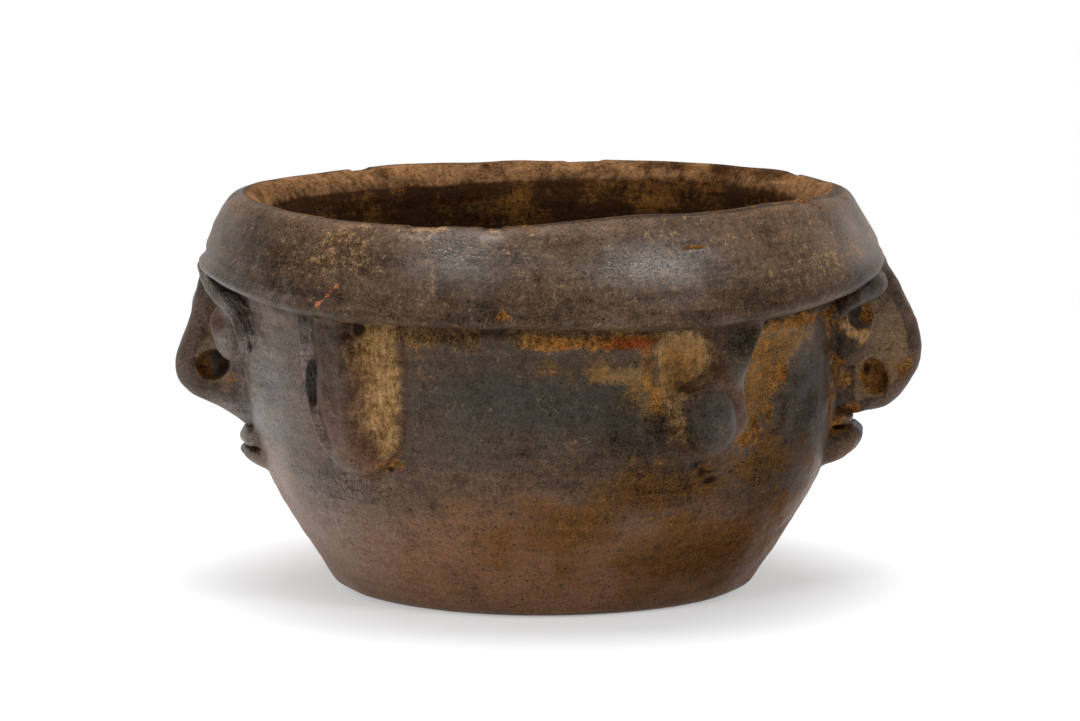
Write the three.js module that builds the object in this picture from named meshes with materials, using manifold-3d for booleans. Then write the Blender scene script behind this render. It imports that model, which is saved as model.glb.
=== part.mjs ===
// Hand-built earthenware bowl with a face on each end.
// Z is up, the table is z = 0, and the faces look along +X (right) and -X (left).
// The bowl, its collar and every feature of the faces are pieces of clay that the
// potter shaped on their own and then pressed on, so each one is a solid of its own.

import * as THREE from 'three';
import { mergeVertices } from 'three/addons/utils/BufferGeometryUtils.js';
import Module from 'manifold-3d';

const wasm = await Module();
wasm.setup();

// Driving dimensions, in millimetres
const GAP = 0.3;
const WALL_RADIUS = 66.4;
const WALL_THICKNESS = 6.2;
const WALL_TOP = 76;
const FOOT_RADIUS = 46.2;
const PRESSED_HEIGHT = 16;
const FLOOR_THICKNESS = 7.6;
const RIM_RADIUS = 65.3;
const RIM_HEIGHT = 87.5;
const COLLAR_RADIUS = 75.8;
const COLLAR_EDGE = 67.2;
const COLLAR_LEAN = 0.25;
const MOUTH_RADIUS = 60.1;

// How finely round forms are cut into facets
const ROUND_STEPS = 68;
const DEGREE = Math.PI / 180;

// Outside of the wall from the foot up, as radius and height
const WALL_OUTSIDE = [
  [FOOT_RADIUS, 0], [47.5, 1.8], [52.2, 9.8], [56.7, 16.9], [60.7, 24.5],
  [63.7, 33], [65.6, 43], [WALL_RADIUS, 56],
];

// Inside of the wall from the top down to the middle of the floor
const WALL_INSIDE = [
  [WALL_RADIUS - WALL_THICKNESS, 56], [58.9, 42], [55.4, 28.5], [48.6, 16.8],
  [37, 9.6], [20, FLOOR_THICKNESS + 0.2], [0, FLOOR_THICKNESS],
];

// Outside of the collar, from the crest of the rim down and round its lower lip
const COLLAR_OUTSIDE = [
  [RIM_RADIUS, RIM_HEIGHT], [68.7, 85.8], [71.6, 81], [73.9, 75.2],
  [COLLAR_RADIUS - 0.2, 71], [COLLAR_RADIUS - 0.4, 68.4], [73.4, COLLAR_EDGE], [70, 67.9],
];

// Inside of the collar, from its seat on the wall up to the crest of the rim
const COLLAR_INSIDE = [
  [MOUTH_RADIUS, 80], [61.2, 84.2], [63.2, 86.8],
];

// Height where the underside of the collar meets the wall
const GROOVE_HEIGHT = 69.2;

// Clay colours
const CLAY = {
  wall: new THREE.MeshStandardMaterial({ color: 0x40322a, roughness: 0.5, metalness: 0 }),
  collar: new THREE.MeshStandardMaterial({ color: 0x4a3c35, roughness: 0.45, metalness: 0 }),
  feature: new THREE.MeshStandardMaterial({ color: 0x453028, roughness: 0.5, metalness: 0 }),
  ear: new THREE.MeshStandardMaterial({ color: 0x54402f, roughness: 0.6, metalness: 0 }),
};

// Geometry helpers

function smoothstep(from, to, value) {
  const t = THREE.MathUtils.clamp((value - from) / (to - from), 0, 1);
  return t * t * (3 - 2 * t);
}

function spline(points, steps) {
  const curve = new THREE.SplineCurve(points.map(([r, z]) => new THREE.Vector2(r, z)));
  return curve.getPoints(steps);
}

function point(r, z) {
  return new THREE.Vector2(r, z);
}

// Closed triangle mesh to solid, turned the right way out
function solid(geometry) {
  const bare = geometry.clone();
  bare.deleteAttribute('normal');
  bare.deleteAttribute('uv');
  const merged = mergeVertices(bare, 1e-4);
  const places = merged.getAttribute('position').array;
  const corners = [];
  let volume = 0;
  const [a, b, c] = [new THREE.Vector3(), new THREE.Vector3(), new THREE.Vector3()];
  for (let i = 0; i < merged.index.count; i += 3) {
    const [p, q, s] = merged.index.array.slice(i, i + 3);
    if (p === q || q === s || s === p) continue;
    corners.push([p, q, s]);
    a.fromArray(places, 3 * p);
    b.fromArray(places, 3 * q);
    c.fromArray(places, 3 * s);
    volume += a.dot(b.cross(c));
  }
  const turned = volume > 0 ? corners : corners.map(([p, q, s]) => [p, s, q]);
  return new wasm.Manifold(new wasm.Mesh({
    numProp: 3,
    vertProperties: new Float32Array(places),
    triVerts: new Uint32Array(turned.flat()),
  }));
}

function mesh(name, body, material) {
  const { vertProperties, triVerts } = body.getMesh();
  const geometry = new THREE.BufferGeometry();
  geometry.setAttribute('position', new THREE.BufferAttribute(vertProperties, 3));
  geometry.setIndex(new THREE.BufferAttribute(triVerts, 1));
  geometry.computeVertexNormals();
  const result = new THREE.Mesh(geometry, material);
  result.name = name;
  return result;
}

// Profile of radius and height, turned about Z
function revolve(profile) {
  return new THREE.LatheGeometry(profile, ROUND_STEPS).rotateX(Math.PI / 2);
}

// Open profile moved outwards by a distance, its ends kept at their heights
function grown(profile, distance) {
  return profile.map((here, i) => {
    const before = profile[Math.max(i - 1, 0)];
    const after = profile[Math.min(i + 1, profile.length - 1)];
    const along = after.clone().sub(before).normalize();
    return point(here.x + along.y * distance, here.y - along.x * distance);
  });
}

// Closed rings of equal length joined into a skin, with flat ends
function loft(rings) {
  const count = rings[0].length;
  const index = [];
  for (let ring = 0; ring < rings.length - 1; ring += 1) {
    for (let i = 0; i < count; i += 1) {
      const [a, b] = [ring * count + i, ring * count + ((i + 1) % count)];
      index.push(a, b, b + count, a, b + count, a + count);
    }
  }
  const last = (rings.length - 1) * count;
  for (let i = 1; i < count - 1; i += 1) {
    index.push(0, i + 1, i, last, last + i, last + i + 1);
  }
  return new THREE.BufferGeometry().setFromPoints(rings.flat()).setIndex(index);
}

// Two grids of points closed along their edges
function shell(top, bottom, rows, columns) {
  const under = rows * columns;
  const index = [];
  const quad = (a, b, c, d) => index.push(a, b, c, a, c, d);
  for (let row = 0; row < rows - 1; row += 1) {
    for (let column = 0; column < columns - 1; column += 1) {
      const a = row * columns + column;
      quad(a, a + 1, a + columns + 1, a + columns);
      quad(under + a, under + a + columns, under + a + columns + 1, under + a + 1);
    }
  }
  const edge = (a, b) => quad(a, under + a, under + b, b);
  for (let column = 0; column < columns - 1; column += 1) {
    const last = (rows - 1) * columns + column;
    edge(column, column + 1);
    edge(last + 1, last);
  }
  for (let row = 0; row < rows - 1; row += 1) {
    const first = row * columns;
    edge(first + columns, first);
    edge(first + columns - 1, first + 2 * columns - 1);
  }
  const geometry = new THREE.BufferGeometry().setFromPoints([...top, ...bottom]);
  return geometry.setIndex(index);
}

// The bowl's wall

const wallOutside = spline(WALL_OUTSIDE, 12);

function wallRadius(z) {
  const above = wallOutside.findIndex((p) => p.y > z);
  if (above < 0) return WALL_RADIUS;
  if (above === 0) return FOOT_RADIUS;
  const [low, high] = [wallOutside[above - 1], wallOutside[above]];
  return THREE.MathUtils.mapLinear(z, low.y, high.y, low.x, high.x);
}

// A point on the outside of the wall, lifted off it square to its slope.
// The bearing is in degrees from the front (-Y) towards the right face (+X).
function onWall(bearing, z, lift) {
  const slope = Math.atan((wallRadius(z + 1) - wallRadius(z - 1)) / 2);
  const r = wallRadius(z) + lift * Math.cos(slope);
  return new THREE.Vector3(
    r * Math.sin(bearing * DEGREE),
    -r * Math.cos(bearing * DEGREE),
    z - lift * Math.sin(slope),
  );
}

// The foot was pressed a little out of round: flatter in front and behind
function pressFoot(geometry) {
  const places = geometry.getAttribute('position');
  for (let i = 0; i < places.count; i += 1) {
    const [x, y, z] = [places.getX(i), places.getY(i), places.getZ(i)];
    const angle = Math.atan2(y, x);
    const wave = 0.018 * Math.cos(2 * angle) - 0.014 * Math.cos(4 * angle);
    const push = 1 + wave * (1 - smoothstep(0, PRESSED_HEIGHT, z));
    places.setXY(i, x * push, y * push);
  }
  return geometry;
}

function bowl() {
  const profile = [
    point(0, 0), ...wallOutside, point(WALL_RADIUS, WALL_TOP),
    point(WALL_RADIUS - WALL_THICKNESS, WALL_TOP), ...spline(WALL_INSIDE, 9),
  ];
  return solid(pressFoot(revolve(profile)));
}

// Everything inside the wall's outside, with the clearance round it
function wallCutter() {
  const outside = grown([...wallOutside, point(WALL_RADIUS, WALL_TOP)], GAP);
  const filled = [point(0, -5), point(outside[0].x, -5), ...outside, point(0, WALL_TOP)];
  return solid(pressFoot(revolve(filled)));
}

// The collar, a thick coil that sits on the wall and hangs outside it.
// Its rim rises and dips by hand, and its lower lip is higher over the faces.

function rimWave(angle) {
  return 0.8 * Math.cos(angle) - 0.34 * Math.sin(angle)
    + 0.21 * Math.cos(2 * angle) - 0.36 * Math.sin(2 * angle)
    - 0.49 * Math.cos(3 * angle) - 0.18 * Math.sin(3 * angle);
}

function lipWave(angle) {
  return 2.1 * Math.cos(2 * angle) + 0.6 * Math.cos(4 * angle);
}

function waveCollar(geometry) {
  const places = geometry.getAttribute('position');
  for (let i = 0; i < places.count; i += 1) {
    const [x, y, z] = [places.getX(i), places.getY(i), places.getZ(i)];
    const angle = Math.atan2(y, x);
    const r = Math.hypot(x, y);
    const nearRim = smoothstep(WALL_TOP + 1, RIM_HEIGHT - 1, z);
    const nearLip = smoothstep(WALL_RADIUS + 1, 72.5, r) * (1 - smoothstep(70, 84, z));
    places.setX(i, x - COLLAR_LEAN * smoothstep(WALL_RADIUS + 1, 71, r));
    places.setZ(i, z + nearRim * rimWave(angle) + nearLip * lipWave(angle));
  }
  return geometry;
}

function collar() {
  const seat = WALL_TOP + GAP;
  const profile = [
    point(WALL_RADIUS - WALL_THICKNESS, seat), ...spline([...COLLAR_INSIDE, COLLAR_OUTSIDE[0]], 4),
    ...spline(COLLAR_OUTSIDE, 11).slice(1),
    point(WALL_RADIUS + GAP, GROOVE_HEIGHT), point(WALL_RADIUS + GAP, seat),
  ];
  return solid(waveCollar(revolve([...profile, profile[0]])));
}

function collarCutter() {
  const outside = grown(spline(COLLAR_OUTSIDE, 11), -GAP);
  const profile = [
    point(0, RIM_HEIGHT), ...outside, point(WALL_RADIUS, GROOVE_HEIGHT - GAP),
    point(0, GROOVE_HEIGHT - GAP),
  ];
  return solid(waveCollar(revolve(profile)));
}

// Features are drawn on the right face, on its front half: outwards is +X and the
// front is -Y. `side` is 1 for the right face and -1 for the left one, and `half`
// is 1 for the front half and -1 for the back half.

function placed(geometry, side, half) {
  return solid(geometry.clone().scale(side, half, 1));
}

// Noses: a tall hooked blade. Its ridge is drawn in profile, as reach from the axis
// and height, and each level is a rounded section, swollen where the nostrils are.
// The nostrils are finger-tip hollows.

const NOSES = {
  left: {
    ridge: [
      [75.2, 71.5], [78.7, 58.9], [81.8, 49.4], [81.3, 45.4],
      [78.9, 42.6], [74.9, 40], [70.6, 38], [64, 33.4],
    ],
    nostril: { reach: 73.2, height: 48.9, width: 3.5, tall: 3.4 },
  },
  right: {
    ridge: [
      [75.4, 71.5], [79.9, 64.8], [82.9, 58.5], [84, 51.5],
      [81.7, 44.6], [76.7, 39.5], [70, 37.3], [64, 38],
    ],
    nostril: { reach: 73.7, height: 46, width: 3.3, tall: 4.1 },
  },
};
const NOSE_ROOT = 61;
const NOSE_LEVELS = 14;
const NOSE_STEPS = 10;
const NOSE_HALF = 4.2;
const NOSE_SQUARENESS = 3.2;
const NOSTRIL_DEPTH = 2.9;

function noseBlade({ ridge, nostril }, grow) {
  const levels = grown(spline(ridge, NOSE_LEVELS), -grow);
  return loft(levels.map(({ x: reach, y: z }) => {
    const swell = 0.85 + 0.35 * Math.exp(-(((z - nostril.height) / 13) ** 2));
    const section = [];
    for (let step = 0; step <= NOSE_STEPS; step += 1) {
      const turn = (step / NOSE_STEPS - 0.5) * Math.PI;
      const out = Math.max(Math.cos(turn), 0) ** (2 / NOSE_SQUARENESS);
      const across = Math.sign(turn) * Math.abs(Math.sin(turn)) ** (2 / NOSE_SQUARENESS);
      const half = NOSE_HALF * swell * (1.12 - 0.2 * out) + grow;
      section.push(new THREE.Vector3(NOSE_ROOT + (reach - NOSE_ROOT) * out, half * across, z));
    }
    return section;
  }));
}

function nostrilHollow({ reach, height, width, tall }) {
  const surface = NOSE_HALF * 1.15;
  const hollow = new THREE.SphereGeometry(1, 12, 8);
  hollow.scale(width, NOSTRIL_DEPTH + 0.8, tall);
  return hollow.translate(reach, -surface - 0.8, height);
}

// Eyes: a bead of clay pressed into the corner between nose and wall, with a round
// hollow poked into it, above the middle so that the lower lid is heavy

const EYES = {
  left: { centre: [67.5, 10.9, 57.2], turn: 42, radius: 5.6, tall: 1.02, raise: 1.2 },
  right: { centre: [66.8, 11.5, 58.9], turn: 55, radius: 5.8, tall: 1.24, raise: 1.6 },
};
const EYE_OPENING = 52 * DEGREE;
const EYE_FLOOR = 0.35;
const EYE_RINGS = 8;
const EYE_SIDES = 16;

function eyeBead({ centre, turn, radius, tall, raise }, grow) {
  const outer = radius + grow;
  const profile = [];
  for (let step = 0; step <= EYE_RINGS; step += 1) {
    const angle = THREE.MathUtils.lerp(-Math.PI / 2, EYE_OPENING, step / EYE_RINGS);
    profile.push(point(step === 0 ? 0 : outer * Math.cos(angle), outer * Math.sin(angle)));
  }
  const brim = profile.at(-1);
  if (grow === 0) {
    profile.push(point(brim.x * 0.72, brim.y * 0.86), point(brim.x * 0.45, brim.y * 0.5));
  }
  profile.push(point(0, grow > 0 ? brim.y : brim.y * EYE_FLOOR));
  const turned = new THREE.LatheGeometry(profile, EYE_SIDES);
  const bead = raiseHollow(turned, brim, raise).scale(1, 1, tall);
  const outwards = new THREE.Vector3(Math.cos(turn * DEGREE), -Math.sin(turn * DEGREE), 0);
  const up = new THREE.Vector3(0, 0, 1);
  const sideways = outwards.clone().cross(up);
  bead.applyMatrix4(new THREE.Matrix4().makeBasis(sideways, outwards, up));
  return bead.translate(centre[0], -centre[1], centre[2]);
}

function raiseHollow(bead, brim, raise) {
  const places = bead.getAttribute('position');
  for (let i = 0; i < places.count; i += 1) {
    const r = Math.hypot(places.getX(i), places.getZ(i));
    if (places.getY(i) > 0) {
      const share = 1 - smoothstep(brim.x * 0.9, brim.x * 1.7, r);
      places.setZ(i, places.getZ(i) + raise * share);
    }
  }
  return bead;
}

// Coils: brows are thin rolls of clay laid along a path, with rounded ends

const COIL_STEPS = 12;
const COIL_SIDES = 9;

function coil(path, radius, grow) {
  const curve = new THREE.CatmullRomCurve3(path.map(([x, y, z]) => new THREE.Vector3(x, -y, z)));
  const { normals, binormals } = curve.computeFrenetFrames(COIL_STEPS);
  const rings = [];
  for (let step = 0; step <= COIL_STEPS; step += 1) {
    const share = step / COIL_STEPS;
    const thick = radius * Math.sqrt(1 - 0.94 * (2 * share - 1) ** 8) + grow;
    const ring = [];
    for (let side = 0; side < COIL_SIDES; side += 1) {
      const turn = (side / COIL_SIDES) * 2 * Math.PI;
      ring.push(curve.getPointAt(share)
        .addScaledVector(normals[step], thick * Math.cos(turn))
        .addScaledVector(binormals[step], thick * Math.sin(turn)));
    }
    rings.push(ring);
  }
  return loft(rings);
}

// Paths run from beside the nose to the outer corner: outwards, to the front, up
const BROWS = {
  left: {
    radius: 1.7,
    path: [
      [74.3, 5.6, 69.8], [73.4, 8.6, 66], [70.3, 14, 63.8],
      [67.6, 18.4, 60], [65.6, 21, 56.2], [63.4, 23.2, 52],
    ],
  },
  right: {
    radius: 2.5,
    path: [
      [73.9, 7.6, 68.6], [72.2, 12.4, 67.4], [69.6, 17, 66.7],
      [66.6, 21, 65.8], [62.6, 25.2, 64.4],
    ],
  },
};

// Lips: a roll of clay across the end of the pot. The profile is its section under the
// nose, as lift off the wall and height, and the roll thins out to both sides.
const LIPS = {
  left: {
    upper: [[-2, 30.4], [2, 31.6], [3.7, 32.8], [3.6, 34.2], [1.8, 35.4], [-2, 35]],
    lower: [[-2, 25], [1, 26.3], [3, 28.3], [4.3, 30.2], [4.1, 31], [2.2, 31.2], [-2, 30.1]],
  },
  right: {
    upper: [[-2, 35.9], [2.4, 36.5], [4, 37.3], [3.4, 38.9], [-2, 38.9]],
    lower: [
      [-2, 25.6], [1, 26.7], [4.6, 29.6], [6.4, 32.4], [7.1, 34.6], [6.4, 35.8], [4, 36.1], [-2, 35.3],
    ],
  },
};
const LIP_SPREAD = 11;
const LIP_STEPS = 4;
const LIP_SUNK = 2.2;
const LIP_CORNER = 0.45;

function lip(profile, grow) {
  const middle = (profile[0][1] + profile.at(-1)[1]) / 2;
  const outline = spline(profile, 2 * profile.length);
  const section = grown(outline, grow);
  const rings = [];
  for (let step = -LIP_STEPS; step <= LIP_STEPS; step += 1) {
    const across = step / LIP_STEPS;
    const full = Math.sqrt(1 - Math.abs(across) ** 2.6);
    const ring = section.map(({ x: lift, y: z }) => onWall(
      90 + across * (LIP_SPREAD + grow),
      middle + (z - middle) * (LIP_CORNER + (1 - LIP_CORNER) * full),
      lift * full - LIP_SUNK * (1 - full),
    ));
    rings.push(ring);
  }
  return loft(rings);
}

// Ears: a paddle of clay that hangs from the collar. Two edge curves run down it,
// the leading one nearer the face, and a cross profile gives its thickness between.
// Edges are bearings in degrees from the front, with heights.

const EARS = {
  left: {
    leading: [[49.6, 70], [48.2, 62], [47.6, 54], [46.4, 46], [44.4, 39], [41.2, 33.9], [37.6, 32]],
    trailing: [[27.6, 70], [26.4, 62], [26, 54], [26.4, 46], [28, 39], [31.4, 34], [35.2, 31.9]],
    profile: [
      [0, 0.1], [0.05, 0.46], [0.13, 0.64], [0.22, 0.86], [0.33, 1],
      [0.44, 0.94], [0.53, 0.68], [0.6, 0.4], [0.8, 0.22], [1, 0.05],
    ],
    thickness: 6.6,
  },
  right: {
    leading: [
      [42.4, 70], [41.6, 63.5], [40, 58.5], [38.6, 55], [38, 51.5],
      [38.6, 47.5], [38.8, 43.5], [36.8, 39.4], [32.8, 37.2],
    ],
    trailing: [
      [30, 70], [31.2, 63.5], [33.4, 58.5], [32.4, 55], [27.2, 52.4],
      [23.4, 48.5], [22.8, 44], [25, 39.9], [29.2, 37.4],
    ],
    profile: [[0, 0.12], [0.06, 0.6], [0.2, 0.92], [0.45, 1], [0.75, 0.85], [0.92, 0.5], [1, 0.1]],
    thickness: 5.2,
  },
};
const EAR_ROWS = 12;
const EAR_COLUMNS = 11;

function earPaddle({ leading, trailing, profile, thickness }) {
  const front = new THREE.SplineCurve(leading.map(([bearing, z]) => point(bearing, z)));
  const rear = new THREE.SplineCurve(trailing.map(([bearing, z]) => point(bearing, z)));
  const height = new THREE.SplineCurve(profile.map(([across, share]) => point(across, share)));
  const top = [];
  const bottom = [];
  for (let row = 0; row < EAR_ROWS; row += 1) {
    const down = row / (EAR_ROWS - 1);
    const [a, b] = [front.getPoint(down), rear.getPoint(down)];
    const fade = Math.sqrt(Math.max(1 - smoothstep(0.72, 1.02, down), 0.01));
    for (let column = 0; column < EAR_COLUMNS; column += 1) {
      const share = height.getPoint(column / (EAR_COLUMNS - 1));
      const [bearing, z] = [a.x + (b.x - a.x) * share.x, a.y + (b.y - a.y) * share.x];
      top.push(onWall(bearing, z, GAP + 0.4 + thickness * share.y * fade));
      bottom.push(onWall(bearing, z, GAP));
    }
  }
  return shell(top, bottom, EAR_ROWS, EAR_COLUMNS);
}

// The slit pierced through the front of the left ears
const SLIT = { bearing: 43.9, facing: 15, height: 52, width: 1.5, tall: 4.6 };

function slit() {
  const lens = new THREE.SphereGeometry(1, 12, 8).scale(SLIT.width, 12, SLIT.tall);
  lens.rotateZ(SLIT.facing * DEGREE);
  const { x, y, z } = onWall(SLIT.bearing, SLIT.height, 4);
  return lens.translate(x, y, z);
}

// Earspools: domed discs set into the lobes of the right ears
const EARSPOOL = { bearing: 32.2, height: 45.2, radius: 7.5, seat: 3, dome: 3.4 };

function earspool(grow) {
  const { bearing, height, radius, seat, dome } = EARSPOOL;
  const outer = radius + grow;
  const profile = [point(0, -grow), point(outer, -grow), point(outer, dome * 0.45)];
  for (let i = 1; i <= 4; i += 1) {
    const turn = (i / 4) * 90 * DEGREE;
    profile.push(point(outer * Math.cos(turn), dome * (0.45 + 0.55 * Math.sin(turn)) + grow));
  }
  profile.at(-1).x = 0;
  const disc = new THREE.LatheGeometry(profile, 24);
  const base = onWall(bearing, height, seat);
  const outwards = onWall(bearing, height, seat + 1).sub(base).normalize();
  const up = new THREE.Vector3(0, 1, 0);
  disc.applyQuaternion(new THREE.Quaternion().setFromUnitVectors(up, outwards));
  return disc.translate(base.x, base.y, base.z);
}

// The pot, put together

const pot = new THREE.Group();
const wall = wallCutter();
const band = collarCutter();
pot.add(mesh('body_bowl', bowl(), CLAY.wall));
pot.add(mesh('rim_collar', collar(), CLAY.collar));

for (const [face, side] of [['left', -1], ['right', 1]]) {
  const noseSpace = placed(noseBlade(NOSES[face], GAP), side, 1);
  const hollow = nostrilHollow(NOSES[face].nostril);
  const nose = placed(noseBlade(NOSES[face], 0), side, 1)
    .subtract(placed(hollow, side, 1))
    .subtract(placed(hollow, side, -1))
    .subtract(wall)
    .subtract(band);
  pot.add(mesh(`${face}_nose`, nose, CLAY.feature));

  const lowerSpace = placed(lip(LIPS[face].lower, GAP), side, 1);
  const upperLip = placed(lip(LIPS[face].upper, 0), side, 1)
    .subtract(wall)
    .subtract(noseSpace)
    .subtract(lowerSpace);
  const lowerLip = placed(lip(LIPS[face].lower, 0), side, 1).subtract(wall).subtract(noseSpace);
  pot.add(mesh(`${face}_upper_lip`, upperLip, CLAY.feature));
  pot.add(mesh(`${face}_lower_lip`, lowerLip, CLAY.feature));

  for (const [place, half] of [['front', 1], ['back', -1]]) {
    const { path, radius } = BROWS[face];
    const brow = placed(coil(path, radius, 0), side, half)
      .subtract(wall)
      .subtract(noseSpace)
      .subtract(band);
    const eye = placed(eyeBead(EYES[face], 0), side, half)
      .subtract(wall)
      .subtract(noseSpace)
      .subtract(placed(coil(path, radius, GAP), side, half))
      .subtract(band);
    pot.add(mesh(`${face}_eye_${place}`, eye, CLAY.feature));
    pot.add(mesh(`${face}_brow_${place}`, brow, CLAY.feature));

    let ear = placed(earPaddle(EARS[face]), side, half).subtract(band);
    if (face === 'left') {
      ear = ear.subtract(placed(slit(), side, half));
    } else {
      ear = ear.subtract(placed(earspool(GAP), side, half));
      pot.add(mesh(`right_earspool_${place}`, placed(earspool(0), side, half), CLAY.feature));
    }
    pot.add(mesh(`${face}_ear_${place}`, ear, CLAY.ear));
  }
}

export default pot;
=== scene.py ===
import math

import bpy
import numpy as np
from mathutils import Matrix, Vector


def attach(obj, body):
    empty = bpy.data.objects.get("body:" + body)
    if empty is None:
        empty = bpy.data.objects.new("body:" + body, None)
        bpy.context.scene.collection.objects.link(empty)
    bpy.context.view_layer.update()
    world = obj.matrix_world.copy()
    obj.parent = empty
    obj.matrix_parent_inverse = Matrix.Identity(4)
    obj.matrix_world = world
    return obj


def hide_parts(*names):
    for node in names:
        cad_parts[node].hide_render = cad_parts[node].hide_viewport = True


# Hand-built earthenware bowl with a face on each end, dressed around its solids.
# Shapes are worked out in millimetres and become metres when a mesh is made.
# A bearing is in degrees from the front (-Y), positive towards the right face (+X).

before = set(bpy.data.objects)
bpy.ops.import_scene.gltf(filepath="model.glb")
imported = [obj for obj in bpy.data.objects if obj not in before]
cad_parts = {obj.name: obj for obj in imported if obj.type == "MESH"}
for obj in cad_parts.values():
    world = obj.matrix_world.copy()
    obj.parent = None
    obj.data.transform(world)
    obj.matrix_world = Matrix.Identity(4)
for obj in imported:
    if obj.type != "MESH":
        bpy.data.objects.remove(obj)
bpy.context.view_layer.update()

MM = 0.001
GAP = 0.3

# The bowl and its collar
WALL_RADIUS = 66.4
WALL_THICKNESS = 6.2
WALL_TOP = 76
FOOT_RADIUS = 43.6
PRESSED_HEIGHT = 16
FLOOR_THICKNESS = 7.6
RIM_RADIUS = 65.3
RIM_HEIGHT = 87.5
COLLAR_RADIUS = 75.8
COLLAR_EDGE = 67.2
COLLAR_LEAN = 0.25
MOUTH_LEAN = 1.0
MOUTH_RADIUS = 60.1
GROOVE_HEIGHT = 69.2

WALL_OUTSIDE = [
    (FOOT_RADIUS, 0), (45.8, 0.9), (48.0, 3.2), (52.2, 9.8), (56.7, 16.9), (60.7, 24.5),
    (63.7, 33), (65.6, 43), (WALL_RADIUS, 56),
]
WALL_INSIDE = [
    (WALL_RADIUS - WALL_THICKNESS, 56), (58.9, 42), (55.4, 28.5), (48.6, 16.8),
    (37, 9.6), (20, FLOOR_THICKNESS + 0.2), (0, FLOOR_THICKNESS),
]
COLLAR_OUTSIDE = [
    (RIM_RADIUS, RIM_HEIGHT), (68.8, 85.8), (71.6, 81.2), (73.5, 76),
    (COLLAR_RADIUS - 0.8, 71.4), (COLLAR_RADIUS - 0.9, 68.7), (72.9, COLLAR_EDGE), (70, 67.9),
]
COLLAR_INSIDE = [(MOUTH_RADIUS, 80), (61.2, 84.2), (63.2, 86.8)]

# How finely the clay is meshed
WALL_GRAIN = 0.8
COLLAR_GRAIN = 0.65
PIECE_GRAIN = 0.42
FOOT_GRAIN = 2.2
TOP_GRAIN = 1.5
INSIDE_GRAIN = 1.3
COARSE = 4
COARSE_REACH = 2.2


# Curves and fields

def smooth(low, high, value):
    t = np.clip((value - low) / (high - low), 0, 1)
    return t * t * (3 - 2 * t)


def plateau(value, begin, full, thin, end):
    """0 outside, rising to 1 from begin to full and falling back from thin to end."""
    return smooth(begin, full, value) * (1 - smooth(thin, end, value))


def hump(value, centre, width):
    return np.exp(-((value - centre) / width) ** 2)


def spline(points, steps=80):
    """Smooth curve through points."""
    points = np.array(points, float)
    last = len(points) - 1
    places = np.linspace(0, last, steps + 1)
    start = np.minimum(places.astype(int), last - 1)
    t = (places - start)[:, None]
    before = points[np.maximum(start - 1, 0)]
    here, there = points[start], points[start + 1]
    after = points[np.minimum(start + 2, last)]
    leave, arrive = (there - before) / 2, (after - here) / 2
    cubic = 2 * here - 2 * there + leave + arrive
    square = -3 * here + 3 * there - 2 * leave - arrive
    return cubic * t ** 3 + square * t ** 2 + leave * t + here


def even(points, spacing):
    """The same line with its points a given distance apart."""
    lengths = np.r_[0, np.cumsum(np.linalg.norm(np.diff(points, axis=0), axis=1))]
    count = max(int(round(lengths[-1] / spacing)), 1) + 1
    places = np.linspace(0, lengths[-1], count)
    return np.column_stack([np.interp(places, lengths, column) for column in points.T])


def join(a, b, blend):
    """Union of two distances, filleted over the blend length."""
    near = np.maximum(blend - np.abs(a - b), 0) / blend
    return np.minimum(a, b) - near * near * blend / 4


def cut(a, b, blend):
    """What is inside both distances, with the edge rounded."""
    return -join(-a, -b, blend)


def ripples(x, y, z, size, seed, waves=14):
    """Smooth random bumps about a size across, of unit strength."""
    random = np.random.default_rng(seed)
    total = np.zeros(np.shape(x))
    for _ in range(waves):
        way = random.normal(size=3)
        way *= 2 * math.pi / (size * random.uniform(0.8, 1.7) * np.linalg.norm(way))
        total += np.sin(x * way[0] + y * way[1] + z * way[2] + random.uniform(0, 2 * math.pi))
    return total * math.sqrt(2 / waves)


def unevenness(x, y, z, waves):
    """Sum of ripples, each with its strength, size, seed and stretch across and up."""
    return sum(strength * ripples(across * x, across * y, up * z, size, seed)
               for strength, size, seed, across, up in waves)


def outline_field(points, step=0.3, margin=9):
    """Signed distance to a closed outline in a plane, as a function of two coordinates."""
    points = np.array(points, float)
    low = points.min(0) - margin
    counts = ((points.max(0) + margin - low) / step).astype(int) + 2
    a, b = np.meshgrid(*[low[i] + step * np.arange(counts[i]) for i in (0, 1)], indexing="ij")
    nearest = np.full(a.shape, np.inf)
    inside = np.zeros(a.shape, bool)
    for (p, q), (s, t) in zip(points, np.roll(points, -1, axis=0)):
        along = np.array([s - p, t - q])
        length = along @ along
        if length == 0:
            continue
        share = np.clip(((a - p) * along[0] + (b - q) * along[1]) / length, 0, 1)
        gap = np.hypot(a - p - share * along[0], b - q - share * along[1])
        nearest = np.minimum(nearest, gap)
        if q != t:
            inside ^= ((q > b) != (t > b)) & (a < p + (b - q) * (s - p) / (t - q))
    table = np.where(inside, -nearest, nearest)

    def field(u, v):
        i = np.clip((u - low[0]) / step, 0, counts[0] - 1.001)
        j = np.clip((v - low[1]) / step, 0, counts[1] - 1.001)
        m, n = i.astype(int), j.astype(int)
        i, j = i - m, j - n
        lower = table[m, n] * (1 - j) + table[m, n + 1] * j
        upper = table[m + 1, n] * (1 - j) + table[m + 1, n + 1] * j
        return lower * (1 - i) + upper * i
    return field


# The wall of the bowl

wall_line = even(np.vstack([spline(WALL_OUTSIDE), (WALL_RADIUS, WALL_TOP)]), WALL_GRAIN)


def unroll(bearing):
    """Length along the wall from the front."""
    return np.radians(bearing) * WALL_RADIUS


def bearing_of(x, y):
    return np.degrees(np.arctan2(x, -y))


def wall_radius(z):
    return np.interp(z, wall_line[:, 1], wall_line[:, 0])


def wall_slope(z):
    return np.arctan((wall_radius(z + 1) - wall_radius(z - 1)) / 2)


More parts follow.
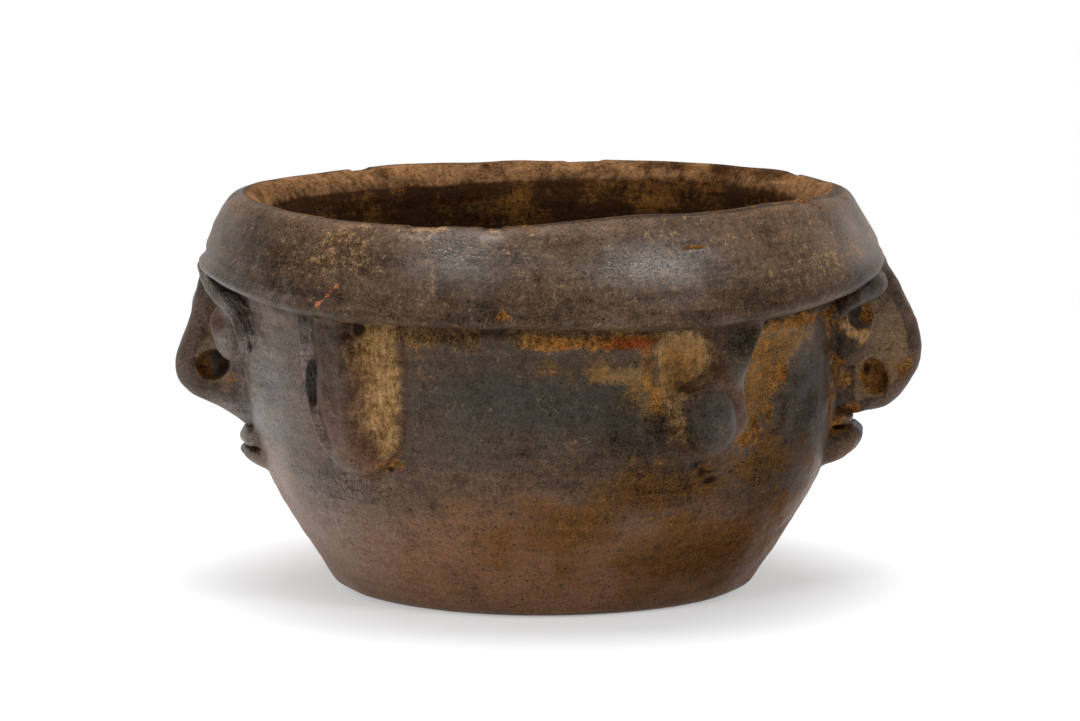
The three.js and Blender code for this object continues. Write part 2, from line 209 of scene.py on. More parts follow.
# Waves round the pot: times round, height in mm as a cosine and as a sine from the right face.
# The foot's are shares of its radius.
LIP_WAVES = [(2, 2.1, 0), (4, 0.6, 0)]
RIM_WAVES = [(1, 0.8, -0.34), (2, 0.21, -0.36), (3, -0.49, -0.18)]
FOOT_WAVES = [(2, -0.004, 0), (4, -0.004, 0)]


def waves_round(bearing, waves):
    turn = np.radians(bearing - 90)
    return sum(a * np.cos(times * turn) + b * np.sin(times * turn) for times, a, b in waves)


def foot_press(bearing, z):
    """The foot was pressed a little out of round."""
    return 1 + waves_round(bearing, FOOT_WAVES) * (1 - smooth(0, PRESSED_HEIGHT, z))


def lip_wave(bearing):
    return waves_round(bearing, LIP_WAVES)


def rim_wave(bearing):
    return waves_round(bearing, RIM_WAVES)


def lip_height(bearing):
    """Height of the collar's lower edge."""
    return COLLAR_EDGE + lip_wave(bearing)


def spot(bearing, z, where, up, wide, tall):
    """Soft oval on the wall. Its size is half its width in degrees and half its height."""
    return np.exp(-((bearing - where) / wide) ** 2 - ((z - up) / tall) ** 2)


def dents(bearing, z, places, rough, wander, fray, full):
    """Ragged holes that wander up and down and fray at the edge with the roughness."""
    total = 0
    for *place, depth in places:
        hole = spot(bearing, z + wander * rough, *place)
        total = total + depth * smooth(0.25, full, hole + fray * rough)
    return total


# Unevenness: strength, size, seed, stretch across, stretch up
WALL_WAVES = [(0.34, 42, 1, 1, 1), (0.13, 13, 2, 1, 0.7), (0.045, 7, 3, 0.5, 2.2)]
WALL_ROUGHNESS = [(0.5, 4.5, 5, 1, 1), (0.35, 2.2, 6, 1, 1)]

# Finger marks in the wall: bearing, height, half width, half height, lift
SCOOPS = [
    (26.5, 56, 4.6, 6.5, -1.15),
    (20.5, 47, 3.5, 6, 0.35),
    (46, 50, 3.4, 10, -0.45),
    (-24.6, 48, 2.2, 15, 0.3),
    (-8.2, 62.6, 2.8, 3.4, 1.7),
]
# Crust under the collar: where it starts and stops, and its lift. It lies at these heights
# from the collar's edge, and its ends fade over this many degrees.
CRUSTS = [(-31, -11, 0.9), (-5, 23, 1.1), (43, 75, 0.8), (-80, -52, 0.5)]
CRUST_HEIGHTS = (-6.5, -2.2, 2, 4)
CRUST_END = 2
# Losses in the wall: bearing, height, half width, half height, depth
PITS = [
    (-30.5, 33.9, 0.5, 0.55, 0.9),
    (29.7, 35, 1.4, 0.8, 0.8),
    (34, 31.2, 1.8, 0.8, 1.0),
    (31.6, 33.2, 1.0, 1.2, 0.7),
    (39.2, 32.6, 1.1, 0.5, 0.6),
]


def both_ways(bearing):
    """Bearing folded so that the back half repeats the front one."""
    return np.where(np.abs(bearing) > 90, np.sign(bearing) * 180 - bearing, bearing)


def crust(bearing, z):
    """Lift of the crust that lies along the wall under the collar."""
    near = plateau(z - lip_height(bearing), *CRUST_HEIGHTS)
    total = 0
    for start, stop, lift in CRUSTS:
        along = plateau(bearing, start - CRUST_END, start + CRUST_END, stop - CRUST_END, stop + CRUST_END)
        total = total + along * near * lift
    return total


def wall_relief(x, y, z):
    """How far the hand-smoothed wall stands out from the true round form."""
    bearing = bearing_of(x, y)
    height = unevenness(x, y, z, WALL_WAVES)
    folded = both_ways(bearing) + 1.2 * ripples(x, y, z, 30, 4)
    rough = unevenness(x, y, z, WALL_ROUGHNESS)
    for *place, lift in SCOOPS:
        height = height + lift * spot(folded, z, *place)
    height = height + crust(folded, z) * (1 + 0.6 * rough)
    return height - dents(folded, z, PITS, rough, wander=0.4, fray=0.12, full=0.8)


def wall_distance(x, y, z, relief=True):
    """Signed distance to the outside of the wall."""
    r = np.hypot(x, y) / foot_press(bearing_of(x, y), z)
    lift = r - wall_radius(z)
    if relief:
        lift = lift - wall_relief(x, y, z)
    return lift * np.cos(wall_slope(z))


# The collar

def collar_outline():
    seat = WALL_TOP + GAP
    inner = WALL_RADIUS - WALL_THICKNESS
    inside = spline([(inner + 0.5, 70), (inner - 0.2, 74), *COLLAR_INSIDE, COLLAR_OUTSIDE[0]], 40)
    outside = spline(COLLAR_OUTSIDE, 90)[1:]
    under = [(WALL_RADIUS + GAP, GROOVE_HEIGHT), (WALL_RADIUS + GAP, seat)]
    return np.vstack([[(inner + 1.5, seat)], inside, outside, under])


collar_line = collar_outline()
collar_section = outline_field(collar_line)


def wave_shares(r, z):
    near_rim = smooth(WALL_TOP + 1, RIM_HEIGHT - 1, z)
    near_lip = smooth(WALL_RADIUS + 1, 72.5, r) * (1 - smooth(70, 84, z))
    return near_rim, near_lip


COLLAR_WAVES = [(0.26, 44, 11, 1, 1), (0.12, 14, 12, 1, 1), (0.04, 6, 13, 0.4, 2)]
COLLAR_ROUGHNESS = [(0.5, 2.6, 15, 1, 1), (0.35, 1.4, 16, 1, 1)]

# Losses in the collar: bearing, height, half width, half height, depth
GOUGES = [
    (22.6, 82.9, 1.8, 0.5, 0.5),
    (26, 82.3, 2.6, 0.65, 0.9),
    (38, 85.2, 2.6, 0.22, 0.35),
    (-37.8, 71.8, 2.4, 0.35, 0.25),
]
# Chips in its crest: bearing, half width, depth
CHIPS = [(-22, 3.6, 0.35), (-9, 2.2, 0.4), (-139, 2.2, 0.45), (57, 2, 0.3), (118, 3, 0.4), (172, 4, 0.35)]

# The crease above the collar's edge and the roll under it: depth and height in front, how much
# more they are on the left, and how wide they are
CREASE_RISE = 5.2
CREASE = (0.3, 0.3, 1.1)
ROLL = (0.16, 0.6, 1.5)


def collar_lean(r, z):
    """How far the collar sits to the left at its lip and at its mouth."""
    high = smooth(75, 84, z)
    return COLLAR_LEAN * smooth(WALL_RADIUS + 1, 71, r) * (1 - high) + MOUTH_LEAN * high


def crease_height(x, y, bearing):
    """Height of the shallow crease along the collar, above the roll at its lower edge."""
    return lip_height(bearing) + CREASE_RISE + 0.5 * ripples(x, y, 0 * x, 30, 14)


def collar_relief(x, y, z):
    bearing = bearing_of(x, y)
    height = unevenness(x, y, z, COLLAR_WAVES)
    line = crease_height(x, y, bearing)
    left = smooth(10, 50, -bearing)
    for middle, sign, (size, more, wide) in ((line, -1, CREASE), (line - CREASE_RISE / 2, 1, ROLL)):
        height = height + sign * (size + more * left) * hump(z, middle, wide)
    rough = unevenness(x, y, z, COLLAR_ROUGHNESS)
    height = height - dents(bearing, z, GOUGES, rough, wander=0.12, fray=0.08, full=0.75)
    crest = smooth(RIM_HEIGHT - 2.6, RIM_HEIGHT - 1.2, z - rim_wave(bearing))
    for where, wide, depth in CHIPS:
        chip = smooth(0.35, 0.5, hump(bearing, where, wide) + 0.16 * rough)
        height = height - depth * chip * crest
    return height


def collar_distance(x, y, z, relief=True):
    bearing = bearing_of(x, y)
    r = np.hypot(x, y)
    near_rim, near_lip = wave_shares(r, z)
    level = z - near_rim * rim_wave(bearing) - near_lip * lip_wave(bearing)
    shifted = r + collar_lean(r, z) * np.sin(np.radians(bearing))
    gap = collar_section(shifted, level)
    if relief:
        gap = gap - collar_relief(x, y, z)
    return gap


def support(x, y, z):
    """Distance to the bowl with its collar on."""
    return np.minimum(wall_distance(x, y, z), collar_distance(x, y, z))


# Noses

NOSES = {
    "left": {
        "ridge": [
            (75.2, 71.5), (78.7, 58.9), (81.8, 49.4), (81.3, 45.4),
            (78.9, 42.6), (74.9, 40), (70.6, 38), (64, 33.4),
        ],
        "nostril": (73.2, 48.8), "hollow": (3.7, 3.3), "turn": -15, "depth": 4.6,
    },
    "right": {
        "ridge": [
            (75.4, 71.5), (79.9, 64.8), (82.9, 58.5), (84, 51.5),
            (81.7, 44.6), (76.7, 39.5), (70, 37.3), (64, 38),
        ],
        "nostril": (73.4, 46), "hollow": (2.7, 4.2), "turn": 12, "depth": 3.6,
    },
}
NOSE_ROOT = 58
NOSE_HALF = 4.0
NOSE_ROUND = 3.1

# The blade swells along its edge, this far in, and round the nostril, and is thinner in the middle
EDGE_SWELL, EDGE_INSET, EDGE_WIDTH = 0.4, 3, 1.8
NOSTRIL_SWELL, NOSTRIL_SPREAD = 1.0, 6.5
MIDDLE_THINNING = 0.45


def nose_profile(face):
    ridge = spline(NOSES[face]["ridge"])
    return outline_field([*ridge, (NOSE_ROOT, ridge[-1][1]), (NOSE_ROOT, ridge[0][1])])


def nose_field(face):
    """Blade in profile, thickest round the nostrils, with a finger-tip hollow in each flank."""
    facts = NOSES[face]
    in_profile = nose_profile(face)
    reach, height = facts["nostril"]
    wide, tall = facts["hollow"]
    turn = math.radians(facts["turn"])

    def field(out, front, up):
        edge = in_profile(out, up)
        a, b = out - reach, up - height
        near = np.hypot(a, b)
        half = (NOSE_HALF + EDGE_SWELL * hump(-edge, EDGE_INSET, EDGE_WIDTH)
                + NOSTRIL_SWELL * hump(near, 0, NOSTRIL_SPREAD) - MIDDLE_THINNING * smooth(4, 9, -edge))
        p, q = edge + NOSE_ROUND, np.abs(front) - half + NOSE_ROUND
        blade = np.minimum(np.maximum(p, q), 0) - NOSE_ROUND
        blade = blade + np.hypot(np.maximum(p, 0), np.maximum(q, 0))
        along = a * math.cos(turn) + b * math.sin(turn)
        rise = b * math.cos(turn) - a * math.sin(turn)
        depth = (np.abs(front) - NOSE_HALF - 1.2) / facts["depth"]
        hollow = np.sqrt((along / wide) ** 2 + (rise / tall) ** 2 + depth ** 2) - 1
        return cut(blade, -hollow * min(wide, tall), 0.8)
    return field


# Eyes: beads with a hollow poked into them, heavy below

EYES = {
    "left": {
        "bead": (68.4, 12.2, 59.4), "size": (4.5, 4.5, 4.4),
        "lid": (67.4, 12.4, 55.3), "lid_size": (4.7, 4.6, 4.4),
        "hollow": (71.9, 15.9, 60.2), "hollow_size": (2.6, 2.6, 2.7),
    },
    "right": {
        "bead": (66.8, 15.4, 61.0), "size": (5.4, 6.4, 5.4),
        "lid": (66.4, 15.0, 55.2), "lid_size": (5.0, 5.6, 5.0),
        "hollow": (70.0, 20.6, 61.9), "hollow_size": (3.9, 4.4, 3.6),
    },
}


LID_BLEND = 3
HOLLOW_RIM = 0.9


def ball(out, front, up, centre, size):
    p = [(value - at) / radius for value, at, radius in zip((out, front, up), centre, size)]
    return (np.sqrt(p[0] ** 2 + p[1] ** 2 + p[2] ** 2) - 1) * min(size)


def eye_field(face):
    facts = EYES[face]

    def field(out, front, up):
        front = np.abs(front)
        bead = ball(out, front, up, facts["bead"], facts["size"])
        lid = ball(out, front, up, facts["lid"], facts["lid_size"])
        hollow = ball(out, front, up, facts["hollow"], facts["hollow_size"])
        return cut(join(bead, lid, LID_BLEND), -hollow, HOLLOW_RIM)
    return field


# Brows: coils of clay laid along a path of outwards, to the front, up

BROWS = {
    "left": {
        "path": [
            (75, 4.8, 70.8), (73.6, 9.6, 68.4), (71.4, 14.2, 66), (69, 17.6, 64),
            (67, 19.4, 61.6), (65.6, 21.2, 58.2), (65.2, 20.6, 54.4),
        ],
        "radii": [1.5, 1.7, 1.8, 1.7, 1.5, 1.3, 0.9], "groove": 0.17,
    },
    "right": {
        "path": [
            (73, 6, 67.6), (72.2, 10.5, 67.3), (70, 15.2, 66.6),
            (67.6, 19.6, 65.8), (65.2, 22.6, 64.6), (63.8, 23.6, 62.6),
        ],
        "radii": [2.7, 3.0, 2.8, 2.3, 1.8, 1.2], "groove": 0.04,
    },
}
GROOVE_PITCH = 1.15
BROW_FOOT = 0.35


def brow_field(face):
    """The coil is round on top, and squeezed inwards so that it stands on the wall."""
    facts = BROWS[face]
    path = spline(facts["path"], 24)
    radii = np.interp(np.linspace(0, 1, 25), np.linspace(0, 1, len(facts["radii"])), facts["radii"])
    reach = np.hypot(path[:, 0], path[:, 1])
    course = np.column_stack([np.arctan2(path[:, 1], path[:, 0]) * WALL_RADIUS, path[:, 2]])

    def field(out, front, up):
        round_from_nose = np.arctan2(np.abs(front), out) * WALL_RADIUS
        r = np.hypot(out, front)
        best = np.full(r.shape, np.inf)
        depth = np.zeros(r.shape)
        for i in range(len(course) - 1):
            start, along = course[i], course[i + 1] - course[i]
            share = (round_from_nose - start[0]) * along[0] + (up - start[1]) * along[1]
            share = np.clip(share / (along @ along), 0, 1)
            aside = np.hypot(round_from_nose - start[0] - share * along[0], up - start[1] - share * along[1])
            rise = r - reach[i] - share * (reach[i + 1] - reach[i])
            sunk = np.minimum(rise, 0)
            gap = np.hypot(aside, rise - (1 - BROW_FOOT) * sunk)
            gap = gap - radii[i] - share * (radii[i + 1] - radii[i])
            depth = np.where(gap < best, aside - sunk, depth)
            best = np.minimum(best, gap)
        return best + facts["groove"] * np.cos(2 * math.pi * depth / GROOVE_PITCH)
    return field


# Lips: a roll across the end of the pot, drawn in section as lift and height

LIPS = {
    ("left", "upper"): [(-2, 30.4), (2, 31.6), (3.7, 32.8), (3.6, 34.2), (1.8, 35.4), (-2, 35)],
    ("left", "lower"): [(-2, 25), (1, 26.3), (3, 28.3), (4.3, 30.2), (4.1, 31), (2.2, 31.2), (-2, 30.1)],
    ("right", "upper"): [(-2, 35.9), (2.4, 36.5), (4, 37.3), (3.4, 38.9), (-2, 38.9)],
    ("right", "lower"): [
        (-2, 25.6), (1, 26.7), (4.6, 29.6), (6.4, 32.4), (7.1, 34.6), (6.4, 35.8), (4, 36.1), (-2, 35.3),
    ],
}
LIP_SPREAD = 11
LIP_CORNER = 0.5
LIP_FULLNESS = 2.6


def lip_field(face, which):
    profile = np.array(LIPS[face, which])
    section = outline_field(spline(profile, 60))
    middle = (profile[0][1] + profile[-1][1]) / 2

    def field(out, front, up):
        lift = wall_distance(out, -front, up, relief=False)
        level = up + lift * np.sin(wall_slope(up))
        across = np.abs(np.degrees(np.arctan2(out, np.abs(front))) - 90) / LIP_SPREAD
        full = np.sqrt(np.clip(1 - across ** LIP_FULLNESS, 0.04, 1))
        tall = LIP_CORNER + (1 - LIP_CORNER) * full
        roll = section(lift / full, middle + (level - middle) / tall) * full
        return cut(roll, (across - 1) * LIP_SPREAD * math.radians(WALL_RADIUS), 2)
    return field


def upper_lip_field(face):
    return lip_field(face, "upper")


def lower_lip_field(face):
    return lip_field(face, "lower")


# Ears: paddles of clay between two edges, each edge given as bearings and heights

EARS = {
    "left": {
        "leading": [(49.4, 70), (48.2, 62), (47.7, 54), (46.6, 46), (44.6, 39), (41.4, 33.9), (37.6, 32)],
        "trailing": [(27.6, 70), (26.4, 62), (26, 54), (26.4, 46), (28, 39), (31.4, 34), (35.2, 31.9)],
        "profile": [
            (0, 0.5), (0.04, 0.66), (0.08, 0.62), (0.13, 0.46), (0.19, 0.52), (0.28, 0.74), (0.38, 0.88),
            (0.48, 0.98), (0.55, 1), (0.59, 0.85), (0.62, 0.45), (0.66, 0.14), (0.78, 0.04), (0.93, 0.1),
            (1, 0.18),
        ],
        "thickness": 6.4, "thin": 0.2, "tip": 0.56,
    },
    "right": {
        "leading": [
            (41.6, 70), (40.6, 63.5), (38.6, 58.5), (37.3, 55), (37.3, 51.5),
            (37.9, 47.5), (38, 43.5), (35.8, 39.8), (32.2, 37.9),
        ],
        "trailing": [
            (28.2, 70), (28.8, 66), (30.4, 62), (32, 58.8), (31.4, 56), (28, 53.6),
            (24.2, 51), (22.9, 47), (23.7, 42.6), (26, 39.6), (29.6, 38),
        ],
        "profile": [(0, 0.7), (0.06, 0.9), (0.2, 1), (0.45, 1), (0.75, 0.85), (0.92, 0.6), (1, 0.4)],
        "thickness": 5.2, "thin": 0.1, "tip": 0.75,
    },
}
EAR_EDGE = 1.5
EAR_STEEPNESS = 0.8
HOLE_EDGE = 0.5
HOLE_LIFT = 6
SLIT = {"bearing": 45.2, "height": 51.6, "wide": 1.7, "tall": 5.8, "deep": 6}
CAVITY = {"bearing": 35, "height": 63.6, "wide": 1.1, "tall": 1.5, "deep": 2.6}


def bored(ear, hole, bearing, up, lift, slant=0):
    """The ear with a lens-shaped hole pressed into it, square to the wall or at a slant."""
    across = unroll(bearing - hole["bearing"]) - slant * (lift - 4)
    lens = np.sqrt((across / hole["wide"]) ** 2 + ((up - hole["height"]) / hole["tall"]) ** 2
                   + ((lift - HOLE_LIFT) / hole["deep"]) ** 2) - 1
    return cut(ear, -lens * hole["wide"], HOLE_EDGE)


def ear_field(face):
    facts = EARS[face]
    leading, trailing = spline(facts["leading"]), spline(facts["trailing"])
    loop = np.vstack([leading, trailing[::-1]])
    outline = outline_field(np.column_stack([unroll(loop[:, 0]), loop[:, 1]]))
    profile = spline(facts["profile"])
    low, high = leading[-1][1], leading[0][1]

    def field(out, front, up):
        bearing = np.degrees(np.arctan2(out, np.abs(front)))
        lift = wall_distance(out, -front, up, relief=False)
        first = np.interp(-up, -leading[:, 1], leading[:, 0])
        last = np.interp(-up, -trailing[:, 1], trailing[:, 0])
        share = (first - bearing) / np.maximum(first - last, 1)
        down = np.clip((high - up) / (high - low), 0, 1.1)
        fade = 1 - facts["thin"] * smooth(0.6, 1, down)
        section = np.interp(share, profile[:, 0], profile[:, 1])
        section = section + (facts["tip"] - section) * smooth(0.8, 0.92, down)
        thick = facts["thickness"] * fade * section
        ear = cut((lift - thick) * EAR_STEEPNESS, outline(unroll(bearing), up), EAR_EDGE)
        if face == "left":
            ear = bored(ear, SLIT, bearing, up, lift, slant=0.25)
            ear = bored(ear, CAVITY, bearing, up, lift)
        return ear
    return field


# Earspools: domed discs on the lobes of the right ears
EARSPOOLS = {"right": {"bearing": 30.4, "height": 45.3, "wide": 5.9, "tall": 7.2, "seat": 2.8, "dome": 3.9}}
ROUNDNESS = 2.8


def earspool_field(face):
    facts = EARSPOOLS[face]
    bearing, height = math.radians(facts["bearing"]), facts["height"]
    slope = float(wall_slope(height))
    normal = np.array([
        math.sin(bearing) * math.cos(slope), math.cos(bearing) * math.cos(slope), -math.sin(slope),
    ])
    r = float(wall_radius(height))
    centre = np.array([r * math.sin(bearing), r * math.cos(bearing), height]) + facts["seat"] * normal
    sideways = np.array([math.cos(bearing), -math.sin(bearing), 0])
    upwards = np.cross(sideways, normal)

    def field(out, front, up):
        p = np.stack([out, np.abs(front), up], axis=-1) - centre
        radial = np.hypot(p @ sideways / facts["wide"], p @ upwards / facts["tall"])
        axial = np.abs(p @ normal / facts["dome"])
        return ((radial ** ROUNDNESS + axial ** ROUNDNESS) ** (1 / ROUNDNESS) - 1) * facts["dome"]
    return field


# Skinning a field

CORNERS = [(i, j, k) for i in (0, 1) for j in (0, 1) for k in (0, 1)]


def skin(field, low, step):
    """Points and quads of the surface where a sampled field is zero. Inside is negative."""
    inside = field < 0
    cells = tuple(n - 1 for n in field.shape)
    filled = np.zeros(cells, np.int8)
    for i, j, k in CORNERS:
        filled += inside[i:i + cells[0], j:j + cells[1], k:k + cells[2]]
    live = (filled > 0) & (filled < len(CORNERS))
    where = np.argwhere(live)
    number = np.full(cells, -1)
    number[live] = np.arange(len(where))
    units = np.eye(3, dtype=int)

    # One point in each cell that the surface crosses, in the middle of its crossings
    total = np.zeros((len(where), 3))
    crossings = np.zeros(len(where))
    for corner in CORNERS:
        for axis in range(3):
            if corner[axis]:
                continue
            a = field[tuple((where + corner).T)]
            b = field[tuple((where + corner + units[axis]).T)]
            crosses = (a < 0) != (b < 0)
            share = np.where(crosses, a / np.where(crosses, a - b, 1), 0)
            total += (np.array(corner) + share[:, None] * units[axis]) * crosses[:, None]
            crossings += crosses
    points = np.array(low) + (where + total / crossings[:, None]) * step

    # One quad round each grid line that the surface crosses
    quads = []
    for axis in range(3):
        u, v = units[(axis + 1) % 3], units[(axis + 2) % 3]
        start, stop = [slice(1, -1)] * 3, [slice(1, -1)] * 3
        start[axis], stop[axis] = slice(0, -1), slice(1, None)
        a, b = inside[tuple(start)], inside[tuple(stop)]
        for crossing, order in ((a & ~b, 1), (b & ~a, -1)):
            at = np.argwhere(crossing) + u + v
            ring = [number[tuple(place.T)] for place in (at, at - u, at - u - v, at - v)]
            quads.append(np.column_stack(ring[::order]))
    return points, np.vstack(quads)


TUCK = 0.22
ROOT = 2.2


def luted(piece, blend, reach):
    """A piece pressed on to the bowl: its foot spreads into a fillet that ends a tuck under the
    surface, and only its root goes deeper."""
    def field(x, y, z):
        own = piece(x, y, z)
        under = support(x, y, z)
        body = join(own, under + TUCK, blend)
        return np.maximum(np.maximum(body, own - reach), -under - ROOT)
    return field


def boxed(field, low, high, step=PIECE_GRAIN):
    """Skin of a field in a box, worked out finely only where a coarse look finds it near."""
    coarse = [np.arange(a, b + COARSE * step, COARSE * step) for a, b in zip(low, high)]
    grid = field(*np.meshgrid(*coarse, indexing="ij"))
    grid = grid.repeat(COARSE, 0).repeat(COARSE, 1).repeat(COARSE, 2)
    grid = np.roll(grid, -(COARSE // 2), (0, 1, 2))
    close = np.argwhere(np.abs(grid) < COARSE_REACH * COARSE * step)
    grid[tuple(close.T)] = field(*(np.array(low) + close * step).T)
    for axis in range(3):
        for end in (0, -1):
            face = [slice(None)] * 3
            face[axis] = end
            grid[tuple(face)] = np.maximum(grid[tuple(face)], step)
    return skin(grid, low, step)


def facing(field, side, half):
    """A field drawn on the right face's front half, for another face or half."""
    return lambda x, y, z: field(side * x, -half * y, z)


def wobbly(field, seed, strength):
    """The small unevenness of a hand-shaped piece."""
    def uneven(x, y, z):
        return field(x, y, z) + strength * ripples(x, y, z, 9, seed) + 0.05 * ripples(x, y, z, 3.4, seed + 1)
    return uneven


# Revolved pieces: every point of a section line at every bearing

NO_TRIANGLES = np.zeros((0, 3), int)


def around(r, bearing, z):
    turn = np.radians(bearing)
    return np.column_stack([r * np.sin(turn), -r * np.cos(turn), z])


def turned(line, spacing, close):
    """Radius, bearing and height of each point, the direction square to the line there, quads
    between the points, and how many points a ring has."""
    columns = int(2 * math.pi * line[:, 0].max() / spacing)
    rows = len(line)
    along = np.roll(line, -1, axis=0) - np.roll(line, 1, axis=0) if close else np.gradient(line, axis=0)
    along /= np.linalg.norm(along, axis=1)[:, None]
    r, z, level, rise = (np.repeat(values, columns) for values in (*line.T, along[:, 1], -along[:, 0]))
    bearing = np.tile(np.linspace(-180, 180, columns, endpoint=False), rows)
    i, j = np.divmod(np.arange((rows if close else rows - 1) * columns), columns)
    up, right = (i + 1) % rows * columns, (j + 1) % columns
    quads = np.column_stack([i * columns + j, i * columns + right, up + right, up + j])
    return r, bearing, z, around(level, bearing, rise), quads, columns


def bowl_points():
    """The bowl: foot, wall, top of the wall, inside and floor, closed on the axis."""
    inner = WALL_RADIUS - WALL_THICKNESS
    foot = even(np.array([(1, 0), (FOOT_RADIUS - 1.2, 0)]), FOOT_GRAIN)
    wall = even(np.vstack([[(FOOT_RADIUS - 0.4, 0.25)], wall_line[1:]]), WALL_GRAIN)
    top = even(np.array([(WALL_RADIUS - 0.6, WALL_TOP), (inner, WALL_TOP)]), TOP_GRAIN)
    inside = even(np.vstack([[(inner, WALL_TOP - 1)], spline(WALL_INSIDE)]), INSIDE_GRAIN)
    line = np.vstack([foot, wall, top, inside[inside[:, 0] > 1]])
    r, bearing, z, outwards, quads, columns = turned(line, WALL_GRAIN, False)
    points = around(r * foot_press(bearing, z), bearing, z)
    standing = np.repeat(np.arange(len(line)) >= len(foot), columns)
    under_collar = smooth(64, 70, z) * (r < WALL_RADIUS - 3)
    relief = wall_relief(*points.T) * standing * (1 - under_collar) * smooth(-0.2, 2.5, z)
    points = points + outwards * relief[:, None]
    middles = [(0, 0, 0), (0, 0, FLOOR_THICKNESS)]
    first = np.arange(columns)
    right, last = (first + 1) % columns, len(points) - columns
    under = np.column_stack([np.full(columns, len(points)), right, first])
    floor = np.column_stack([np.full(columns, len(points) + 1), last + first, last + right])
    return np.vstack([points, middles]), quads, np.vstack([under, floor])


def collar_points():
    line = even(np.vstack([collar_line, collar_line[:1]]), COLLAR_GRAIN)[:-1]
    r, bearing, z, inwards, quads, _ = turned(line, COLLAR_GRAIN, True)
    near_rim, near_lip = wave_shares(r, z)
    points = around(r, bearing, z + near_rim * rim_wave(bearing) + near_lip * lip_wave(bearing))
    points[:, 0] -= collar_lean(r, z)
    free = smooth(WALL_RADIUS - 1, WALL_RADIUS + 3, r) + smooth(WALL_TOP + 1, WALL_TOP + 4, z)
    points = points - inwards * (collar_relief(*points.T) * np.minimum(free, 1))[:, None]
    return points, quads[:, ::-1], NO_TRIANGLES


# Applied pieces: field, seed, unevenness, box outwards, to the front and up, fillet, its reach, slot
ONE_EACH = {
    "nose": (nose_field, 0, 0.16, (60, -11, 31, 87, 11, 74), 3.2, 2.6, "feature_clay"),
    "upper_lip": (upper_lip_field, 3, 0.16, (57, -15, 29, 74, 15, 41), 1.4, 1.6, "feature_clay"),
    "lower_lip": (lower_lip_field, 3, 0.16, (57, -15, 22, 74, 15, 38), 1.4, 1.6, "feature_clay"),
}
FRONT_AND_BACK = {
    "eye": (eye_field, 5, 0.1, (59, 4, 47, 76, 22, 69), 1.3, 1.2, "feature_clay"),
    "brow": (brow_field, 7, 0.08, (59, 1, 48, 79, 29, 74), 1.0, 0.9, "feature_clay"),
    "ear": (ear_field, 9, 0.14, (20, 38, 28, 57, 72, 73), 2.2, 1.8, "ear_clay"),
    "earspool": (earspool_field, 11, 0.1, (27, 44, 34, 50, 68, 56), 1.0, 0.8, "feature_clay"),
}
FACES = (("left", -1, 40), ("right", 1, 60))
PLACES = (("", 1, ONE_EACH), ("_front", 1, FRONT_AND_BACK), ("_back", -1, FRONT_AND_BACK))


def face_pieces():
    """Every applied piece as node, field, side, half, box, fillet, reach, slot."""
    for face, side, face_seed in FACES:
        for ending, half, kinds in PLACES:
            for kind, (make, seed, strength, *facts) in kinds.items():
                if kind == "earspool" and face not in EARSPOOLS:
                    continue
                shape = wobbly(make(face), face_seed + seed, strength)
                yield (f"{face}_{kind}{ending}", facing(shape, side, half), side, half, *facts)


def placed_box(box, side, half):
    """A box drawn outwards, to the front and up, as low and high corners in the frame."""
    xs = sorted((side * box[0], side * box[3]))
    ys = sorted((-half * box[1], -half * box[4]))
    return (xs[0], ys[0], box[2]), (xs[1], ys[1], box[5])


# Hollows and edges of the whole pot, felt by stepping off the surface

FEELING = 5


def sample_all(points, fields):
    """Distance to the nearest clay at any points."""
    x, y, z = points.T
    nearest = np.minimum(wall_distance(x, y, z, False), collar_distance(x, y, z, False))
    for field, low, high in fields:
        close = np.all((points > np.array(low) - FEELING) & (points < np.array(high) + FEELING), axis=1)
        if close.any():
            nearest[close] = np.minimum(nearest[close], field(*points[close].T))
    return nearest


HOLLOW_STEPS = (1.0, 2.4, 4.8)
EDGE_STEPS = (-0.9, -2.0)


def closeness(points, normals, fields, steps):
    """0 on open ground, towards 1 deep in a corner, or on a thin edge when the steps go inwards."""
    total = 0
    for step in steps:
        total = total + np.clip(1 - sample_all(points + normals * step, fields) / step, 0, 1)
    return total / len(steps)
